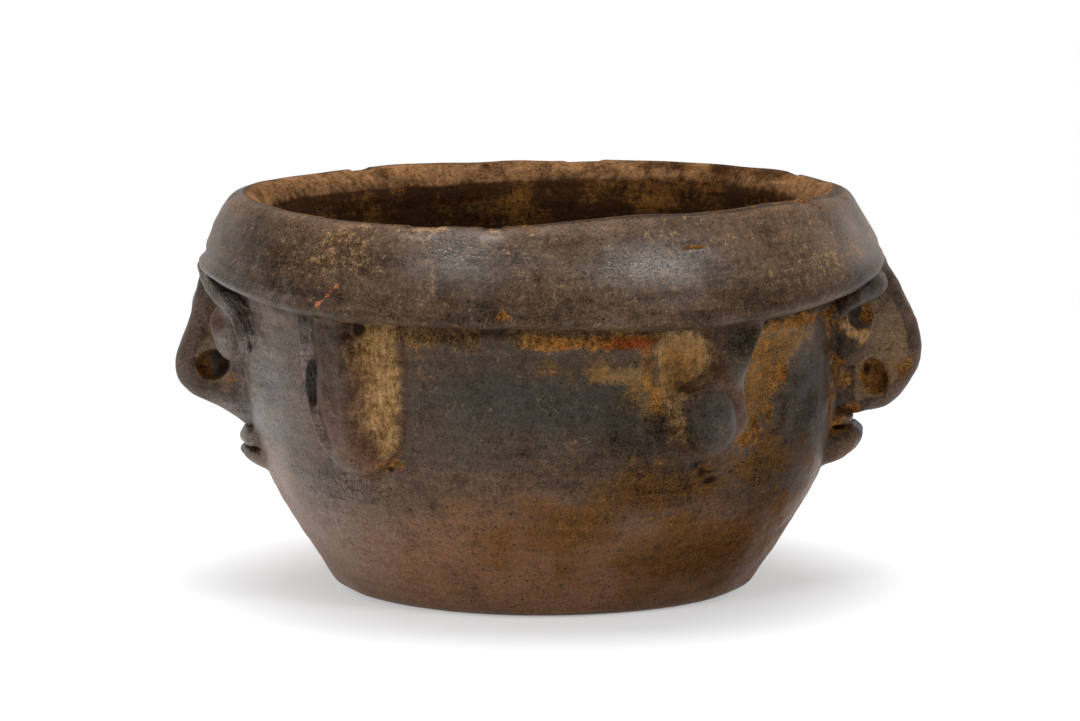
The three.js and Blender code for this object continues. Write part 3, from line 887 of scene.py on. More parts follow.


# Where the clay is stained, unburnished, worn or polished, and where painted shade and painted sheen go.
# Each patch: bearing, height, half width in degrees, half height in mm, strength.

PATCHES = {
    "soil": [
        (-21, 60.8, 10, 1.4, 0.42), (-31, 62, 4, 2, 0.45), (-22, 63, 5, 1.2, 0.35),
        (-60, 62.6, 12, 1.4, 0.35), (1, 62.4, 7, 1.8, 0.85), (14, 62.4, 9, 1.8, 0.9),
        (10, 57, 7, 2, 0.35), (20, 52, 3, 8, 0.5), (-6.5, 69.3, 1.5, 1.1, 0.9),
        (55, 63.2, 13, 1.7, 0.8), (41.2, 50, 1.4, 9, 0.6), (50.8, 52.5, 1.8, 3, 0.75),
        (47, 45, 2, 3.5, 0.6), (41.5, 39.4, 3, 2.6, 0.7), (73, 43, 2.5, 9, 0.75), (80, 37, 5, 4, 0.45),
        (-76.5, 57, 1.6, 7, 0.4), (30, 33, 8, 2, 0.25), (71, 57, 2.4, 6, 0.6), (-30, 35, 4, 2, 0.4),
        (-48.6, 59, 1, 5, 0.5), (26, 82.3, 2.4, 0.5, 0.9), (40.6, 57, 1.2, 5, 0.6), (43.6, 42, 2, 5, 0.6),
    ],
    "rust": [
        (16, 62.2, 7, 1.8, 1.0), (3, 61.6, 4, 1, 0.5), (-76.5, 57, 1.6, 7, 0.8),
        (62, 62.5, 8, 1.5, 0.5), (51, 52, 2, 3, 0.5), (-35, 30, 8, 3, 0.2),
    ],
    "red": [(-76.8, 56, 1.2, 7, 0.9), (-39, 42, 5, 12, 0.45), (17, 61.5, 6, 1.2, 0.4)],
    "bare": [(43.4, 42.5, 1.8, 5, 0.6), (24.4, 43, 1.6, 4, 0.3)],
    "olive": [
        (14, 55.5, 9, 3.4, 0.75), (20, 50, 4, 8, 0.75), (18, 43, 6, 4, 0.4), (-22, 62, 9, 2, 0.4),
        (58, 60.5, 12, 2.4, 0.5), (74, 50, 3, 9, 0.5), (42.8, 43, 3.2, 7, 0.9), (60, 63, 14, 2, 0.6),
    ],
    # Painted shade: darkening in the left ear's slit and cavity, the pits and the collar's gouge
    "deep": [
        (-45.6, 51.6, 2, 4.8, 1.5), (-35, 63.9, 1.5, 1.6, 1.0), (29.7, 35, 1.3, 0.8, 1.0),
        (34, 31.2, 2, 0.9, 1.1), (31.6, 33.2, 1, 1.1, 1.0), (39.2, 32.6, 1.1, 0.5, 0.7),
        (36.5, 34.5, 0.9, 0.6, 0.7), (27, 32.5, 1, 0.5, 0.6), (-30.5, 33.9, 0.7, 0.7, 1.2),
        (24.5, 83, 3.4, 0.9, 1.3), (33, 33, 3, 0.5, 0.8),
    ],
    "soot": [
        (-2, 51, 24, 9, 1.0), (60, 47, 8, 12, 0.8), (18, 45, 12, 8, 0.7), (-14, 43, 14, 9, 0.5),
        (-4, 41, 14, 5, 0.4), (170, 46, 34, 16, 0.9), (-128, 40, 16, 14, 0.6), (12, 79, 12, 6, 0.35),
        (36, 60, 4, 7, 0.8), (30, 45.5, 4, 7, 0.9), (44, 24, 10, 8, 0.35),
    ],
    # Painted sheen: a grey painted reflection on the pot's left side, its brow, the roll at the collar's
    # left edge and the left ear's rim, and painted highlights on the collar's front
    "haze": [
        (-72, 44, 17, 26, 1.0), (-56, 18, 18, 13, 0.7), (-66, 69.5, 16, 2, 0.8), (-74, 65, 9, 7, 1.0),
        (18, 79, 12, 4, 0.6), (-14, 80, 9, 4.5, 0.5), (-46.2, 56, 1.5, 12, 1.0), (-44.4, 42, 1.5, 8, 0.8),
    ],
    "crackle": [(-42, 29, 11, 4.5, 1.0), (-50, 22, 8, 5, 0.45), (-30, 22, 14, 6, 0.3)],
    "scuff": [(-40, 79, 22, 7, 1.0), (58, 76, 16, 5, 0.8), (0, 78, 16, 6, 0.5), (150, 79, 30, 7, 0.8)],
    "amber": [
        (38, 16, 30, 13, 1.0), (50, 34, 18, 8, 0.75), (24, 29, 22, 8, 0.9), (4, 20, 22, 12, 0.8),
        (10, 56, 12, 4, 0.6), (-18, 26, 14, 7, 0.35), (78, 48, 10, 16, 0.6), (-24, 58, 8, 6, 0.4),
        (-135, 22, 24, 10, 0.7), (16, 52, 4, 8, 0.5), (-10, 14, 20, 6, 0.35),
    ],
    "chip": [
        (-21.5, 86.6, 5, 1.5, 0.9), (-8.6, 86.6, 2.2, 2, 0.9), (-33, 86, 4, 1.2, 0.5),
        (34, 86.5, 5, 0.8, 0.5),
    ],
    "polish": [
        (19, 79, 12, 5, 1.0), (-15, 80.5, 9, 4.5, 0.6), (-3, 80, 8, 4, 0.4), (36, 54, 2.5, 3, 1.0),
        (34, 45, 5, 6, 0.3), (-37, 50, 3, 12, 0.3), (74, 79, 12, 6, 0.4),
    ],
    "shade": [
        (60, 42, 22, 18, 1.0), (52, 27, 20, 11, 1.0), (20, 42, 14, 12, 0.9), (24, 31, 14, 8, 0.8),
        (36, 60, 5, 7, 0.7), (48, 12, 28, 12, 0.85), (10, 36, 16, 8, 0.55), (12, 22, 20, 8, 0.3),
        (70, 66, 16, 6, 0.4), (-50, 79, 22, 9, 0.6), (-150, 40, 24, 20, 0.5), (-40, 50, 5, 18, 0.4),
        (36, 45, 2, 7, 0.4),
    ],
    "spot": [
        (50.6, 52.5, 1.8, 2.6, 0.42), (60, 63, 7, 1, 0.36), (17, 51, 1.5, 3, 0.3), (14, 62.8, 8, 1, 0.35),
    ],
}

# Stains, unburnished clay and painted sheen with a border: strength, then bearings and heights round them
BEHIND_RIGHT_EAR = [
    (43.5, 64.3), (56, 64), (58, 60), (53.7, 55.7), (50.6, 51.9), (49.1, 47.8), (46, 43.9),
    (44.1, 40.6), (40.7, 37.8), (38.4, 38.4), (40, 43), (39.2, 47.6), (39.4, 53.3), (42, 59.4),
]
REGIONS = {
    # Painted sheen: a grey painted reflection along the left ear's leading rim
    "haze": [
        (1.0, [
            (-49.8, 67), (-47.4, 62), (-46.9, 56), (-46.7, 50), (-45.6, 45), (-43, 39.5), (-39.5, 35.6),
            (-37, 33), (-41, 31.8), (-45.4, 36), (-48, 43), (-49.4, 54),
        ]),
    ],
    "bare": [
        (1.0, [
            (-35, 66), (-27.9, 66), (-26.8, 57.7), (-26.5, 50.5), (-26.8, 43.2), (-28.2, 38.5),
            (-30.7, 36.4), (-32.6, 38.2), (-33.6, 42.4), (-34.2, 49.7), (-34.7, 57.5),
        ]),
        (0.9, [
            (20.7, 62.9), (24.5, 64.1), (28, 64), (30.6, 61), (32.2, 58), (30.5, 55.2), (28.1, 53.4),
            (26, 52.8), (24.6, 49), (24.8, 44), (25.8, 40.6), (24, 41), (22.8, 46), (22.2, 50.3),
            (21.2, 53), (20.4, 56), (20, 59.4),
        ]),
    ],
    "olive": [(1.0, BEHIND_RIGHT_EAR)],
    "soil": [
        (0.42, BEHIND_RIGHT_EAR),
        (0.3, [(20, 63), (28, 64), (32, 58), (28, 54), (25, 49), (25.8, 40.6), (23, 44), (20, 56)]),
        (0.66, [
            (17.4, 61.5), (21.2, 62.7), (20.6, 59.2), (21.2, 54.9), (22, 52), (22.4, 47), (21.2, 44),
            (19, 48), (17.4, 54),
        ]),
        (0.6, [
            (67.6, 62.4), (75, 55), (77, 50), (76.5, 42), (75.9, 36), (66.5, 31.9), (63.2, 31),
            (71.5, 38), (74.4, 45), (69.5, 53),
        ]),
    ],
}
BORDER_SOFTNESS = 2.6

# The back half has the front's stains a little weaker, and strayed from their places
MIRRORED_STRENGTH = 0.85
STRAY = 1.6

# Stains, clearings, painted shade, painted sheen and painted light on parts that stand away from the wall:
# outwards, to the front, up, radius, strength
DAUBS = {
    "soil": [
        (-75, 3, 48.2, 3.2, 0.7), (-68.5, 6, 45, 3.2, 0.6), (73.8, 3, 46, 4.4, 1.0),
        (79.4, 4.8, 47.8, 3.2, 0.7), (67.5, 7, 46, 4, 0.8), (68, 12, 38, 4, 0.4), (70, 3, 38.5, 3, 0.6),
        (71, 16.6, 62, 2.8, 0.75),
    ],
    # Painted light: the lower rim of the right eye's hollow painted pale, as lit from above
    "bare": [
        (65.4, 20.6, 60.4, 1.6, 0.9), (67.2, 20.6, 58.6, 1.8, 1.1), (70, 19.4, 57.6, 2, 1.1),
        (72, 17.4, 58.6, 1.6, 0.8),
    ],
    # Clearings: free of the wall's stains, with less painted shade of corners
    "clean": [
        (64.6, 19.6, 56.6, 4, 1.0), (66, 20, 55, 3, 1.0), (64, 21.4, 61, 2.4, 1.0),
        (75.3, 3.6, 45.4, 3.2, 1.0), (-50.1, 48.6, 61.6, 4, 1.0), (-50.1, 48.6, 57.5, 3, 0.9),
        (-46.6, 49.8, 43, 4, 0.7),
    ],
    "rust": [(73.2, 3, 46.2, 3.5, 0.4)],
    "red": [(-71.8, 15, 60.2, 3, 0.9)],
    "soot": [
        (67.5, 18, 55, 4.5, 0.9), (64.4, 19, 57, 3.5, 0.8), (70, 16, 66, 4, 0.8), (-74, 3, 50, 4, 0.5),
    ],
    # Painted sheen: a grey painted reflection on the left brow, eye and lips
    "haze": [
        (-73, 11, 68, 5, 1.3), (-69, 18, 63.5, 4, 1.2), (-69, 17, 56, 4, 0.8), (-69, 5, 37.5, 5, 1.2),
        (-70, 5, 34, 4, 0.8),
    ],
    # Painted shade: darkening in both nostrils and in the right eye's hollow
    "deep": [
        (-71.6, 2, 48.8, 3, 1.0), (71.6, 1.8, 47.4, 1.7, 0.8), (67.8, 16.8, 62.6, 2, 0.85),
    ],
    "spot": [
        (75.4, 3.2, 46, 2.6, 0.5), (79.6, 4.8, 48, 2.6, 0.36), (73, 3.4, 43.4, 1.6, 0.45),
        (-43.1, 60.1, 73.8, 0.9, 1.1), (-44.4, 59.4, 72.8, 0.9, 1.0), (-45.5, 58.6, 71.6, 0.9, 1.1),
        (-46.5, 58.5, 70.6, 0.8, 0.8), (-47.2, 58.8, 69.7, 0.9, 1.1),
    ],
}
PROFILES = {face: nose_profile(face) for face in NOSES}


def border_field(border):
    return outline_field([(unroll(where), up) for where, up in border], step=0.5, margin=6)


BORDERS = {
    kind: [(strength, border_field(border)) for strength, border in borders]
    for kind, borders in REGIONS.items()
}


def patches(kind, bearing, z):
    total = np.zeros(len(z))
    for *place, strength in PATCHES[kind]:
        total = np.maximum(total, strength * spot(bearing, z, *place))
    for strength, border in BORDERS.get(kind, ()):
        within = smooth(-BORDER_SOFTNESS, BORDER_SOFTNESS, -border(unroll(bearing), z))
        total = np.maximum(total, strength * within)
    return total


def daubs(kind, points):
    total = np.zeros(len(points))
    for *place, radius, strength in DAUBS.get(kind, ()):
        away = points - place
        total = np.maximum(total, strength * np.exp(-(away ** 2).sum(1) / radius ** 2))
    return total


# Where the clay of a face, and of its nose, stands away from the wall: from and to which radius
# that begins, past which bearing and up to which height
FACE_RADII, FACE_BEARING, FACE_TOP = (68.4, 69.6), 60, 74
NOSE_RADII, NOSE_BEARING, NOSE_TOP = (68.4, 70), 68, 68
FLOOR_LEVEL = 5
WARM_HEIGHTS = (8, 42)


def masks(points, normals, fields):
    """The share of each kind of surface at every point."""
    x, y, z = points.T
    bearing = bearing_of(x, y)
    folded = both_ways(bearing)
    r = np.hypot(x, y)
    mirrored_points = np.column_stack([x, np.abs(y), z])
    level = z - rim_wave(bearing)
    above_lip = z - lip_height(bearing)

    inwards = -(normals[:, 0] * x + normals[:, 1] * y) / np.maximum(r, 1)
    behind_wall = (r < wall_radius(z) * foot_press(bearing, z) - 3) & (z < WALL_TOP - 8)
    inner = np.maximum(smooth(-0.2, 0.4, inwards) * (r < RIM_RADIUS + 1), behind_wall) * (z > FLOOR_LEVEL)

    # Stains of the wall stop at the pieces that stand away from it
    strays = STRAY * ripples(x, y, z, 26, 81)
    clean = daubs("clean", mirrored_points)
    on_face = smooth(*FACE_RADII, r) * (np.abs(folded) > FACE_BEARING) * (z < FACE_TOP)
    near_nose = smooth(*NOSE_RADII, r) * (np.abs(bearing) > NOSE_BEARING) * (z < NOSE_TOP)
    spared = {kind: (1 - on_face) * (1 - clean) for kind in ("soil", "rust", "red", "olive")}
    spared["deep"] = 1 - smooth(69, 70, r)
    spared["haze"] = 1 - 0.8 * near_nose
    here = {}
    for kind in PATCHES:
        share = patches(kind, bearing, z)
        mirrored = MIRRORED_STRENGTH * patches(kind, folded + strays, z + 0.5 * strays)
        share = np.where(np.abs(bearing) > 90, np.maximum(share, mirrored), share) * spared.get(kind, 1)
        here[kind] = np.maximum(share, daubs(kind, mirrored_points)) * (1 - inner)

    flank = np.where(x < 0, 0.75 * smooth(1.6, 6.4, -PROFILES["left"](-x, z)),
                     smooth(2.4, 4.2, -PROFILES["right"](x, z)))
    corner = closeness(points, normals, fields, HOLLOW_STEPS)
    here["inner"] = inner
    here["flank"] = flank * (np.abs(y) < 7) * smooth(68, 70, r) * smooth(0.5, 0.8, np.abs(normals[:, 1]))
    here["crust"] = np.minimum(crust(folded, z), 0.85) * (r < WALL_RADIUS + 4) * (1 - inner)
    # Painted shade: a dark line along the crease above the collar's lower edge
    here["line"] = hump(z, crease_height(x, y, bearing), 1.2) * (r > 70)
    # Painted shade: the collar's lower edge strip darkened
    here["lip"] = (1 - smooth(3.4, 5.4, above_lip)) * smooth(67.5, 69, r) * (z > 60)
    # Hollowness: soil gathers where it is high, and the deepest corners are darkened there as painted shade;
    # clearings take both away
    here["corner"] = corner * (1 - 0.6 * inner) * (1 - 0.9 * clean)
    here["edge"] = closeness(points, normals, fields, EDGE_STEPS)
    here["warm"] = (1 - smooth(*WARM_HEIGHTS, z + 4 * ripples(x, y, z, 30, 82))) * (1 - inner)
    here["crest"] = smooth(RIM_HEIGHT - 3.2, RIM_HEIGHT - 0.6, level)
    # Painted light: the inside under the rim painted lighter, as lit from above, and less so on the far
    # right, which is painted shade
    band = smooth(WALL_TOP + 5.5, WALL_TOP + 8.5, level) * (1 - 0.3 * here["crest"])
    here["band"] = band * (1 - 0.55 * spot(bearing, z, 136, 84, 30, 20))
    return here


# Meshes

def add_object(name, data):
    made = bpy.data.objects.new(name, data)
    bpy.context.scene.collection.objects.link(made)
    return made


def clay_mesh(name, points, quads, triangles, material):
    mesh = bpy.data.meshes.new(name)
    mesh.vertices.add(len(points))
    mesh.vertices.foreach_set("co", (points * MM).astype(np.float32).ravel())
    corners = np.concatenate([quads.ravel(), triangles.ravel()]).astype(np.int32)
    sizes = np.r_[np.full(len(quads), 4), np.full(len(triangles), 3)].astype(np.int32)
    mesh.loops.add(len(corners))
    mesh.loops.foreach_set("vertex_index", corners)
    mesh.polygons.add(len(sizes))
    mesh.polygons.foreach_set("loop_start", np.r_[0, np.cumsum(sizes)[:-1]].astype(np.int32))
    mesh.polygons.foreach_set("loop_total", sizes)
    mesh.polygons.foreach_set("use_smooth", np.ones(len(sizes), bool))
    mesh.update(calc_edges=True)
    mesh.materials.append(material)
    return add_object(name, mesh)


def paint(piece, fields):
    mesh = piece.data
    count = len(mesh.vertices)
    points = np.empty(count * 3, np.float32)
    mesh.vertices.foreach_get("co", points)
    normals = np.empty(count * 3, np.float32)
    mesh.vertex_normals.foreach_get("vector", normals)
    points = points.reshape(-1, 3).astype(float) / MM
    for kind, share in masks(points, normals.reshape(-1, 3).astype(float), fields).items():
        attribute = mesh.attributes.new(kind, "FLOAT", "POINT")
        attribute.data.foreach_set("value", share.astype(np.float32))


# Materials

def srgb(red, green, blue):
    """Colour as it shows on a screen, 0 to 255, as linear light."""
    def linear(value):
        value /= 255
        return value / 12.92 if value <= 0.04045 else ((value + 0.055) / 1.055) ** 2.4
    return (linear(red), linear(green), linear(blue), 1)


class Nodes:
    """Short ways to write a material's node tree, where noises and shares can have names."""

    def __init__(self, owner):
        owner.use_nodes = True
        self.tree = owner.node_tree
        self.tree.nodes.clear()
        self.named = {}

    def add(self, kind, inputs=None, **settings):
        node = self.tree.nodes.new(kind)
        for key, value in settings.items():
            setattr(node, key, value)
        for key, value in (inputs or {}).items():
            self.feed(node.inputs[key], value)
        return node

    def feed(self, socket, value):
        if isinstance(value, bpy.types.NodeSocket):
            self.tree.links.new(value, socket)
        else:
            socket.default_value = value

    def get(self, name):
        """What has this name, or else the mask painted under it."""
        if name not in self.named:
            self.named[name] = self.add("ShaderNodeAttribute", attribute_name=name).outputs["Fac"]
        return self.named[name]

    def math(self, operation, *values):
        """One operation on two values or more, from the first to the last."""
        total = values[0]
        for value in values[1:]:
            total = self.add("ShaderNodeMath", {0: total, 1: value}, operation=operation).outputs[0]
        return total

    def times(self, *values):
        return self.math("MULTIPLY", *values)

    def most(self, *values):
        return self.math("MAXIMUM", *values)

    def sum(self, *values, **shares):
        """Sum of values, and of named ones times their shares."""
        weighed = [self.times(self.get(name), share) for name, share in shares.items()]
        return self.math("ADD", *values, *weighed)

    def step(self, value, low, high, start=0.0, stop=1.0):
        node = self.add("ShaderNodeMapRange", {
            "Value": value, "From Min": low, "From Max": high, "To Min": start, "To Max": stop,
        }, interpolation_type="SMOOTHSTEP")
        return node.outputs["Result"]

    def blend(self, share, a, b):
        node = self.add("ShaderNodeMix", data_type="RGBA", clamp_factor=True)
        for name, value in (("Factor_Float", share), ("A_Color", a), ("B_Color", b)):
            self.feed(next(s for s in node.inputs if s.identifier == name), value)
        return next(s for s in node.outputs if s.identifier == "Result_Color")

    def lay(self, colour, over, strength, low, high, name=None, **shares):
        """One colour over another, from where a sum of named values is low to where it is high."""
        share = self.step(self.sum(**shares), low, high)
        if name:
            self.named[name] = share
        return self.blend(self.times(share, strength), colour, over)

    def mottled(self, dark, light, low, high, **shares):
        return self.blend(self.step(self.sum(**shares), low, high), dark, light)

    def place(self, stretch=(1, 1, 1)):
        """Where a point is, in millimetres, with each axis stretched."""
        where = self.add("ShaderNodeTexCoord").outputs["Object"]
        scale = tuple(value / MM for value in stretch)
        return self.add("ShaderNodeMapping", {"Vector": where, "Scale": scale}).outputs["Vector"]

    def noise(self, where, size, detail=3.0, rough=0.55, warp=0.0, offset=0.0):
        """Noise whose patches are about a size across, swinging about 0."""
        moved = self.add("ShaderNodeVectorMath", {0: where, 1: (offset, offset, offset)}).outputs[0]
        noise = self.add("ShaderNodeTexNoise", {
            "Vector": moved, "Scale": 1 / size, "Detail": detail, "Roughness": rough, "Distortion": warp,
        }).outputs["Fac"]
        return self.math("SUBTRACT", noise, 0.5)

    def line(self, noise, width):
        """Thin winding lines where a noise passes its middle."""
        away = self.add("ShaderNodeMath", {0: noise}, operation="ABSOLUTE").outputs[0]
        return self.step(away, 0, width, 1, 0)


# Screen colours of the clay, of what lies on it, and of painted shade, sheen and light
DARK, BROWN = srgb(48, 36, 25), srgb(86, 65, 48)
WARM, AMBER = srgb(118, 81, 54), srgb(92, 61, 28)
FLANK = srgb(116, 92, 66)
CRUST_DARK, CRUST_LIGHT = srgb(38, 27, 17), srgb(98, 74, 46)
SLATE = srgb(47, 45, 37)
TAN, PALE_TAN = srgb(136, 106, 70), srgb(142, 112, 84)
# Colours of unburnished clay, also laid as painted light on the lower rim of the right eye's hollow
BARE_DARK, BARE_LIGHT = srgb(110, 82, 49), srgb(150, 118, 79)
OCHRE_DARK, OCHRE = srgb(74, 47, 21), srgb(144, 98, 46)
RUST, RED, ORANGE = srgb(122, 56, 22), srgb(92, 52, 38), srgb(176, 104, 66)
OLIVE = srgb(116, 88, 50)
# Grey of the painted sheen, a painted reflection
ASH = srgb(136, 128, 122)
# Near black of cracks and pores, and of the painted shade in deep corners and holes
DEEP = srgb(20, 13, 8)
# Inside the bowl: dark, ochre, and a lighter colour under the rim that is painted light from above
INNER_DARK, INNER_OCHRE, INNER_BAND = srgb(48, 30, 16), srgb(88, 58, 26), srgb(116, 84, 56)


def fired(n, light):
    """Fired clay: mottled brown, warmer low down, blackened in the fire clouds."""
    colour = n.mottled(DARK, light, -0.4, 0.4, mottle=0.45, broad=1, strokes=0.4, fine=0.45, grain=0.4)
    colour = n.lay(colour, WARM, 0.85, 0.15, 1.0, warm=1, broad=0.9, mottle=0.5, fine=0.4)
    colour = n.lay(colour, SLATE, 0.85, 0, 0.9, soot=1, broad=1.1, mottle=0.6, fine=0.3)
    colour = n.lay(colour, AMBER, 0.8, 0.3, 0.9, "golden",
                   amber=1, patchy=1.6, mottle=0.6, fine=1, grain=0.5)
    smudge = n.step(n.sum(mottle=1, strokes=0.6, fine=1), -0.34, -0.1, 1, 0)
    colour = n.blend(n.times(smudge, n.sum(0.2, amber=0.5)), colour, DARK)
    colour = n.lay(colour, FLANK, 0.78, 0.35, 0.9, flank=1, patchy=0.8, mottle=0.5, fine=0.6)
    colour = n.lay(colour, OLIVE, 0.85, 0.3, 0.9, olive=1, patchy=0.9, mottle=1, fine=0.5)
    return n.lay(colour, RED, 0.7, 0.3, 0.7, red=1, mottle=0.6, fine=0.6)


def scuffed(n, colour, here, specks):
    """Tan grains where the skin is scuffed, short root marks, hairs and dots."""
    colour = n.lay(colour, TAN, specks, 0.2, 0.38, fine=0.8, grain=0.9, scuff=0.17, patchy=0.4)
    marks = n.line(n.noise(here, 6, 1, 0.4, warp=0.6, offset=7), 0.012)
    marks = n.times(marks, n.step(n.sum(n.noise(here, 5, 2, offset=19), golden=0.06), 0.06, 0.14))
    hairs = n.line(n.noise(here, 2.0, 3, 0.6, warp=0.8, offset=61), 0.04)
    hairs = n.times(hairs, n.step(n.sum(patchy=1, scuff=0.12, fine=1), 0.1, 0.3))
    dots = n.step(n.sum(n.noise(here, 0.7, 1, 0.3, offset=71), patchy=0.15), 0.24, 0.3)
    return n.blend(n.times(n.most(marks, hairs, dots), specks), colour, TAN)


def laid_bare(n, colour):
    """Unburnished clay in the finger scoops, painted light on the lower rim of the right eye's hollow, and
    pale clay along worn edges.
    """
    streaked = n.mottled(BARE_DARK, BARE_LIGHT, -0.28, 0.3, hatch=0.9, fine=1.3, mottle=0.8)
    colour = n.lay(colour, streaked, 0.94, 0.22, 0.9, "naked", bare=1, fine=0.6, mottle=0.9, patchy=0.5)
    return n.lay(colour, PALE_TAN, 0.7, 0.38, 0.52, crest=0.16, edge=0.14, chip=0.5, patchy=0.5, fine=0.6)


def inside_clay(n):
    """Inside the bowl: dull dark brown with soil stains, and under the rim a strip painted lighter, as lit
    from above.
    """
    colour = n.mottled(INNER_DARK, INNER_OCHRE, -0.05, 0.2, patchy=1, fine=0.6, strokes=0.4)
    lighter = n.step(n.sum(mottle=1, fine=1, patchy=0.6), -0.5, 0.3)
    return n.lay(colour, INNER_BAND, lighter, 0.25, 0.7, band=1, mottle=0.6)


def soiled(n, colour):
    """Soil in the hollows, from ochre to rust, with orange spots."""
    ground = n.mottled(OCHRE_DARK, OCHRE, -0.3, 0.3, fine=1, grain=0.8, mottle=0.7)
    ground = n.lay(ground, RUST, 0.85, 0.25, 0.85, rust=1, mottle=0.7, fine=0.8)
    colour = n.lay(colour, ground, 0.9, 0.36, 0.68, "earthy",
                   soil=1, corner=0.5, patchy=0.6, fine=0.8, grain=0.3)
    return n.lay(colour, ORANGE, 0.9, 0.5, 0.8, fine=1, grain=1, spot=1)


def cracked(n, colour, here):
    """A network of fine cracks and pores, and painted shade in deep corners and holes."""
    jitter = n.add("ShaderNodeTexNoise", {"Vector": here, "Scale": 0.5, "Detail": 3.0}).outputs["Color"]
    warped = n.add("ShaderNodeVectorMath", {0: here, 1: jitter}).outputs[0]
    cells = n.add("ShaderNodeTexVoronoi", {
        "Vector": warped, "Scale": 0.55,
    }, feature="DISTANCE_TO_EDGE").outputs["Distance"]
    torn = n.step(n.sum(crackle=1, patchy=1, fine=0.6), 0.3, 0.6)
    n.named["cracks"] = n.times(n.step(cells, 0.0, 0.05, 1, 0), torn)
    n.named["pores"] = n.step(n.sum(n.noise(here, 0.8, 1, 0.3, offset=3), crackle=0.08), 0.2, 0.27)
    colour = n.blend(n.times(n.get("cracks"), 0.7), colour, DEEP)
    colour = n.blend(n.times(n.get("pores"), n.sum(0.8, naked=-0.5)), colour, DEEP)
    # Painted shade: deep corners and holes darkened towards near black, less where soil or a nose's flank
    # lies
    corner = n.times(n.step(n.get("corner"), 0.5, 0.95), n.most(n.sum(0.8, earthy=-0.6, flank=-0.6), 0))
    deep = n.times(n.step(n.sum(deep=1, fine=1, grain=0.5), 0.3, 0.65), 0.88)
    return n.blend(n.most(corner, deep), colour, DEEP)


def clay(name, light=BROWN, specks=0.55, gloss=0.44, shine=0.18):
    """Burnished earthenware. The masks say where it is stained, unburnished, worn or polished, and where
    painted shade, painted sheen and painted light go.
    """
    material = bpy.data.materials.new(name)
    n = Nodes(material)
    here = n.place()
    n.named.update(
        broad=n.noise(here, 26, 3),
        mottle=n.noise(here, 6, 6, 0.62),
        patchy=n.noise(here, 10, 5, 0.6, offset=31),
        fine=n.noise(here, 1.6, 6, 0.7),
        grain=n.noise(here, 0.45, 3, 0.7, offset=11),
        strokes=n.noise(n.place((0.1, 0.1, 1.0)), 1.3, 5, 0.65),
        hatch=n.noise(n.place((1, 1, 0.12)), 0.8, 4, 0.65),
        pitted=n.noise(here, 0.7, 2, 0.5, offset=43),
    )
    colour = fired(n, light)
    scale = n.mottled(CRUST_DARK, CRUST_LIGHT, -0.3, 0.3, fine=1.2, grain=1, mottle=1)
    colour = n.lay(colour, scale, 0.9, 0.4, 0.85, "scaly", crust=1, mottle=1.8, patchy=0.8, fine=0.7)
    colour = laid_bare(n, scuffed(n, colour, here, specks))
    colour = n.blend(n.get("inner"), colour, inside_clay(n))
    # Painted sheen: a grey painted reflection laid over the colour
    film = n.times(n.get("haze"), 0.52)
    colour = n.lay(colour, ASH, film, -0.4, 0.35, mottle=1, strokes=1, fine=0.5)
    colour = soiled(n, colour)
    # Brightness: painted shade from the shade patches, the collar's lower edge strip and the dark line in
    # its crease, times tone that varies at random
    shade = n.sum(1.0, shade=-0.5, lip=-0.22, line=-0.22, mottle=0.3, patchy=0.25,
                  strokes=0.6, hatch=0.4, fine=1.3, grain=2.4)
    shaded = n.add("ShaderNodeVectorMath", {0: colour, "Scale": shade}, operation="SCALE")
    colour = cracked(n, shaded.outputs[0], here)

    n.named["rocky"] = n.most(n.get("earthy"), n.get("scaly"))
    n.named["dull"] = n.most(n.get("rocky"), n.get("golden"), n.get("naked"), n.get("inner"))
    rough = n.sum(gloss, mottle=0.3, strokes=0.25, fine=0.5, dull=0.45)
    polish = n.sum(shine, haze=0.4, polish=0.5, mottle=0.3, shade=-0.15, crest=-0.12)
    polish = n.times(n.most(polish, 0.02), n.sum(1.0, dull=-0.85))
    crumbs = n.times(n.get("rocky"), n.sum(fine=0.7, grain=0.25))
    pecked = n.times(n.get("haze"), n.math("MINIMUM", n.times(n.get("pitted"), 1.2), 0))
    streaks = n.times(n.get("naked"), n.get("hatch"), 0.25)
    height = n.sum(crumbs, pecked, streaks, strokes=0.11, fine=0.08, grain=0.05, mottle=0.1,
                   cracks=-0.2, pores=-0.15)
    bump = n.add("ShaderNodeBump", {"Height": height, "Distance": MM, "Strength": 1.0})
    shader = n.add("ShaderNodeBsdfPrincipled", {
        "Base Color": colour, "Roughness": n.math("MINIMUM", rough, 0.95),
        "Specular IOR Level": polish, "Normal": bump.outputs[0],
    })
    n.add("ShaderNodeOutputMaterial", {"Surface": shader.outputs[0]})
    return material


def wall_clay():
    return clay("burnished wall clay", specks=0.35)


def collar_clay():
    return clay("burnished collar clay", light=srgb(94, 72, 54), specks=0.7, gloss=0.4, shine=0.1)


def feature_clay():
    return clay("burnished feature clay", light=srgb(84, 64, 50), specks=0.4)


def ear_clay():
    return clay("half burnished ear clay", light=srgb(92, 62, 44), specks=0.35, shine=0.12)


MATERIALS = {
    "wall_clay": wall_clay, "collar_clay": collar_clay,
    "feature_clay": feature_clay, "ear_clay": ear_clay,
}


# Putting the pot together

def make_pot():
    finish = {slot: make() for slot, make in MATERIALS.items()}
    built = [
        ("body_bowl", *bowl_points(), "wall_clay"),
        ("rim_collar", *collar_points(), "collar_clay"),
    ]
    fields = []
    for node, field, side, half, box, blend, reach, slot in face_pieces():
        low, high = placed_box(box, side, half)
        points, quads = boxed(luted(field, blend, reach), low, high)
        built.append((node, points, quads, NO_TRIANGLES, slot))
        fields.append((field, low, high))
    for node, points, quads, triangles, slot in built:
        piece = clay_mesh(f"{node}_clay", points, quads, triangles, finish[slot])
        paint(piece, fields)
        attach(piece, "root")
        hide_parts(node)


# Floor, light and camera

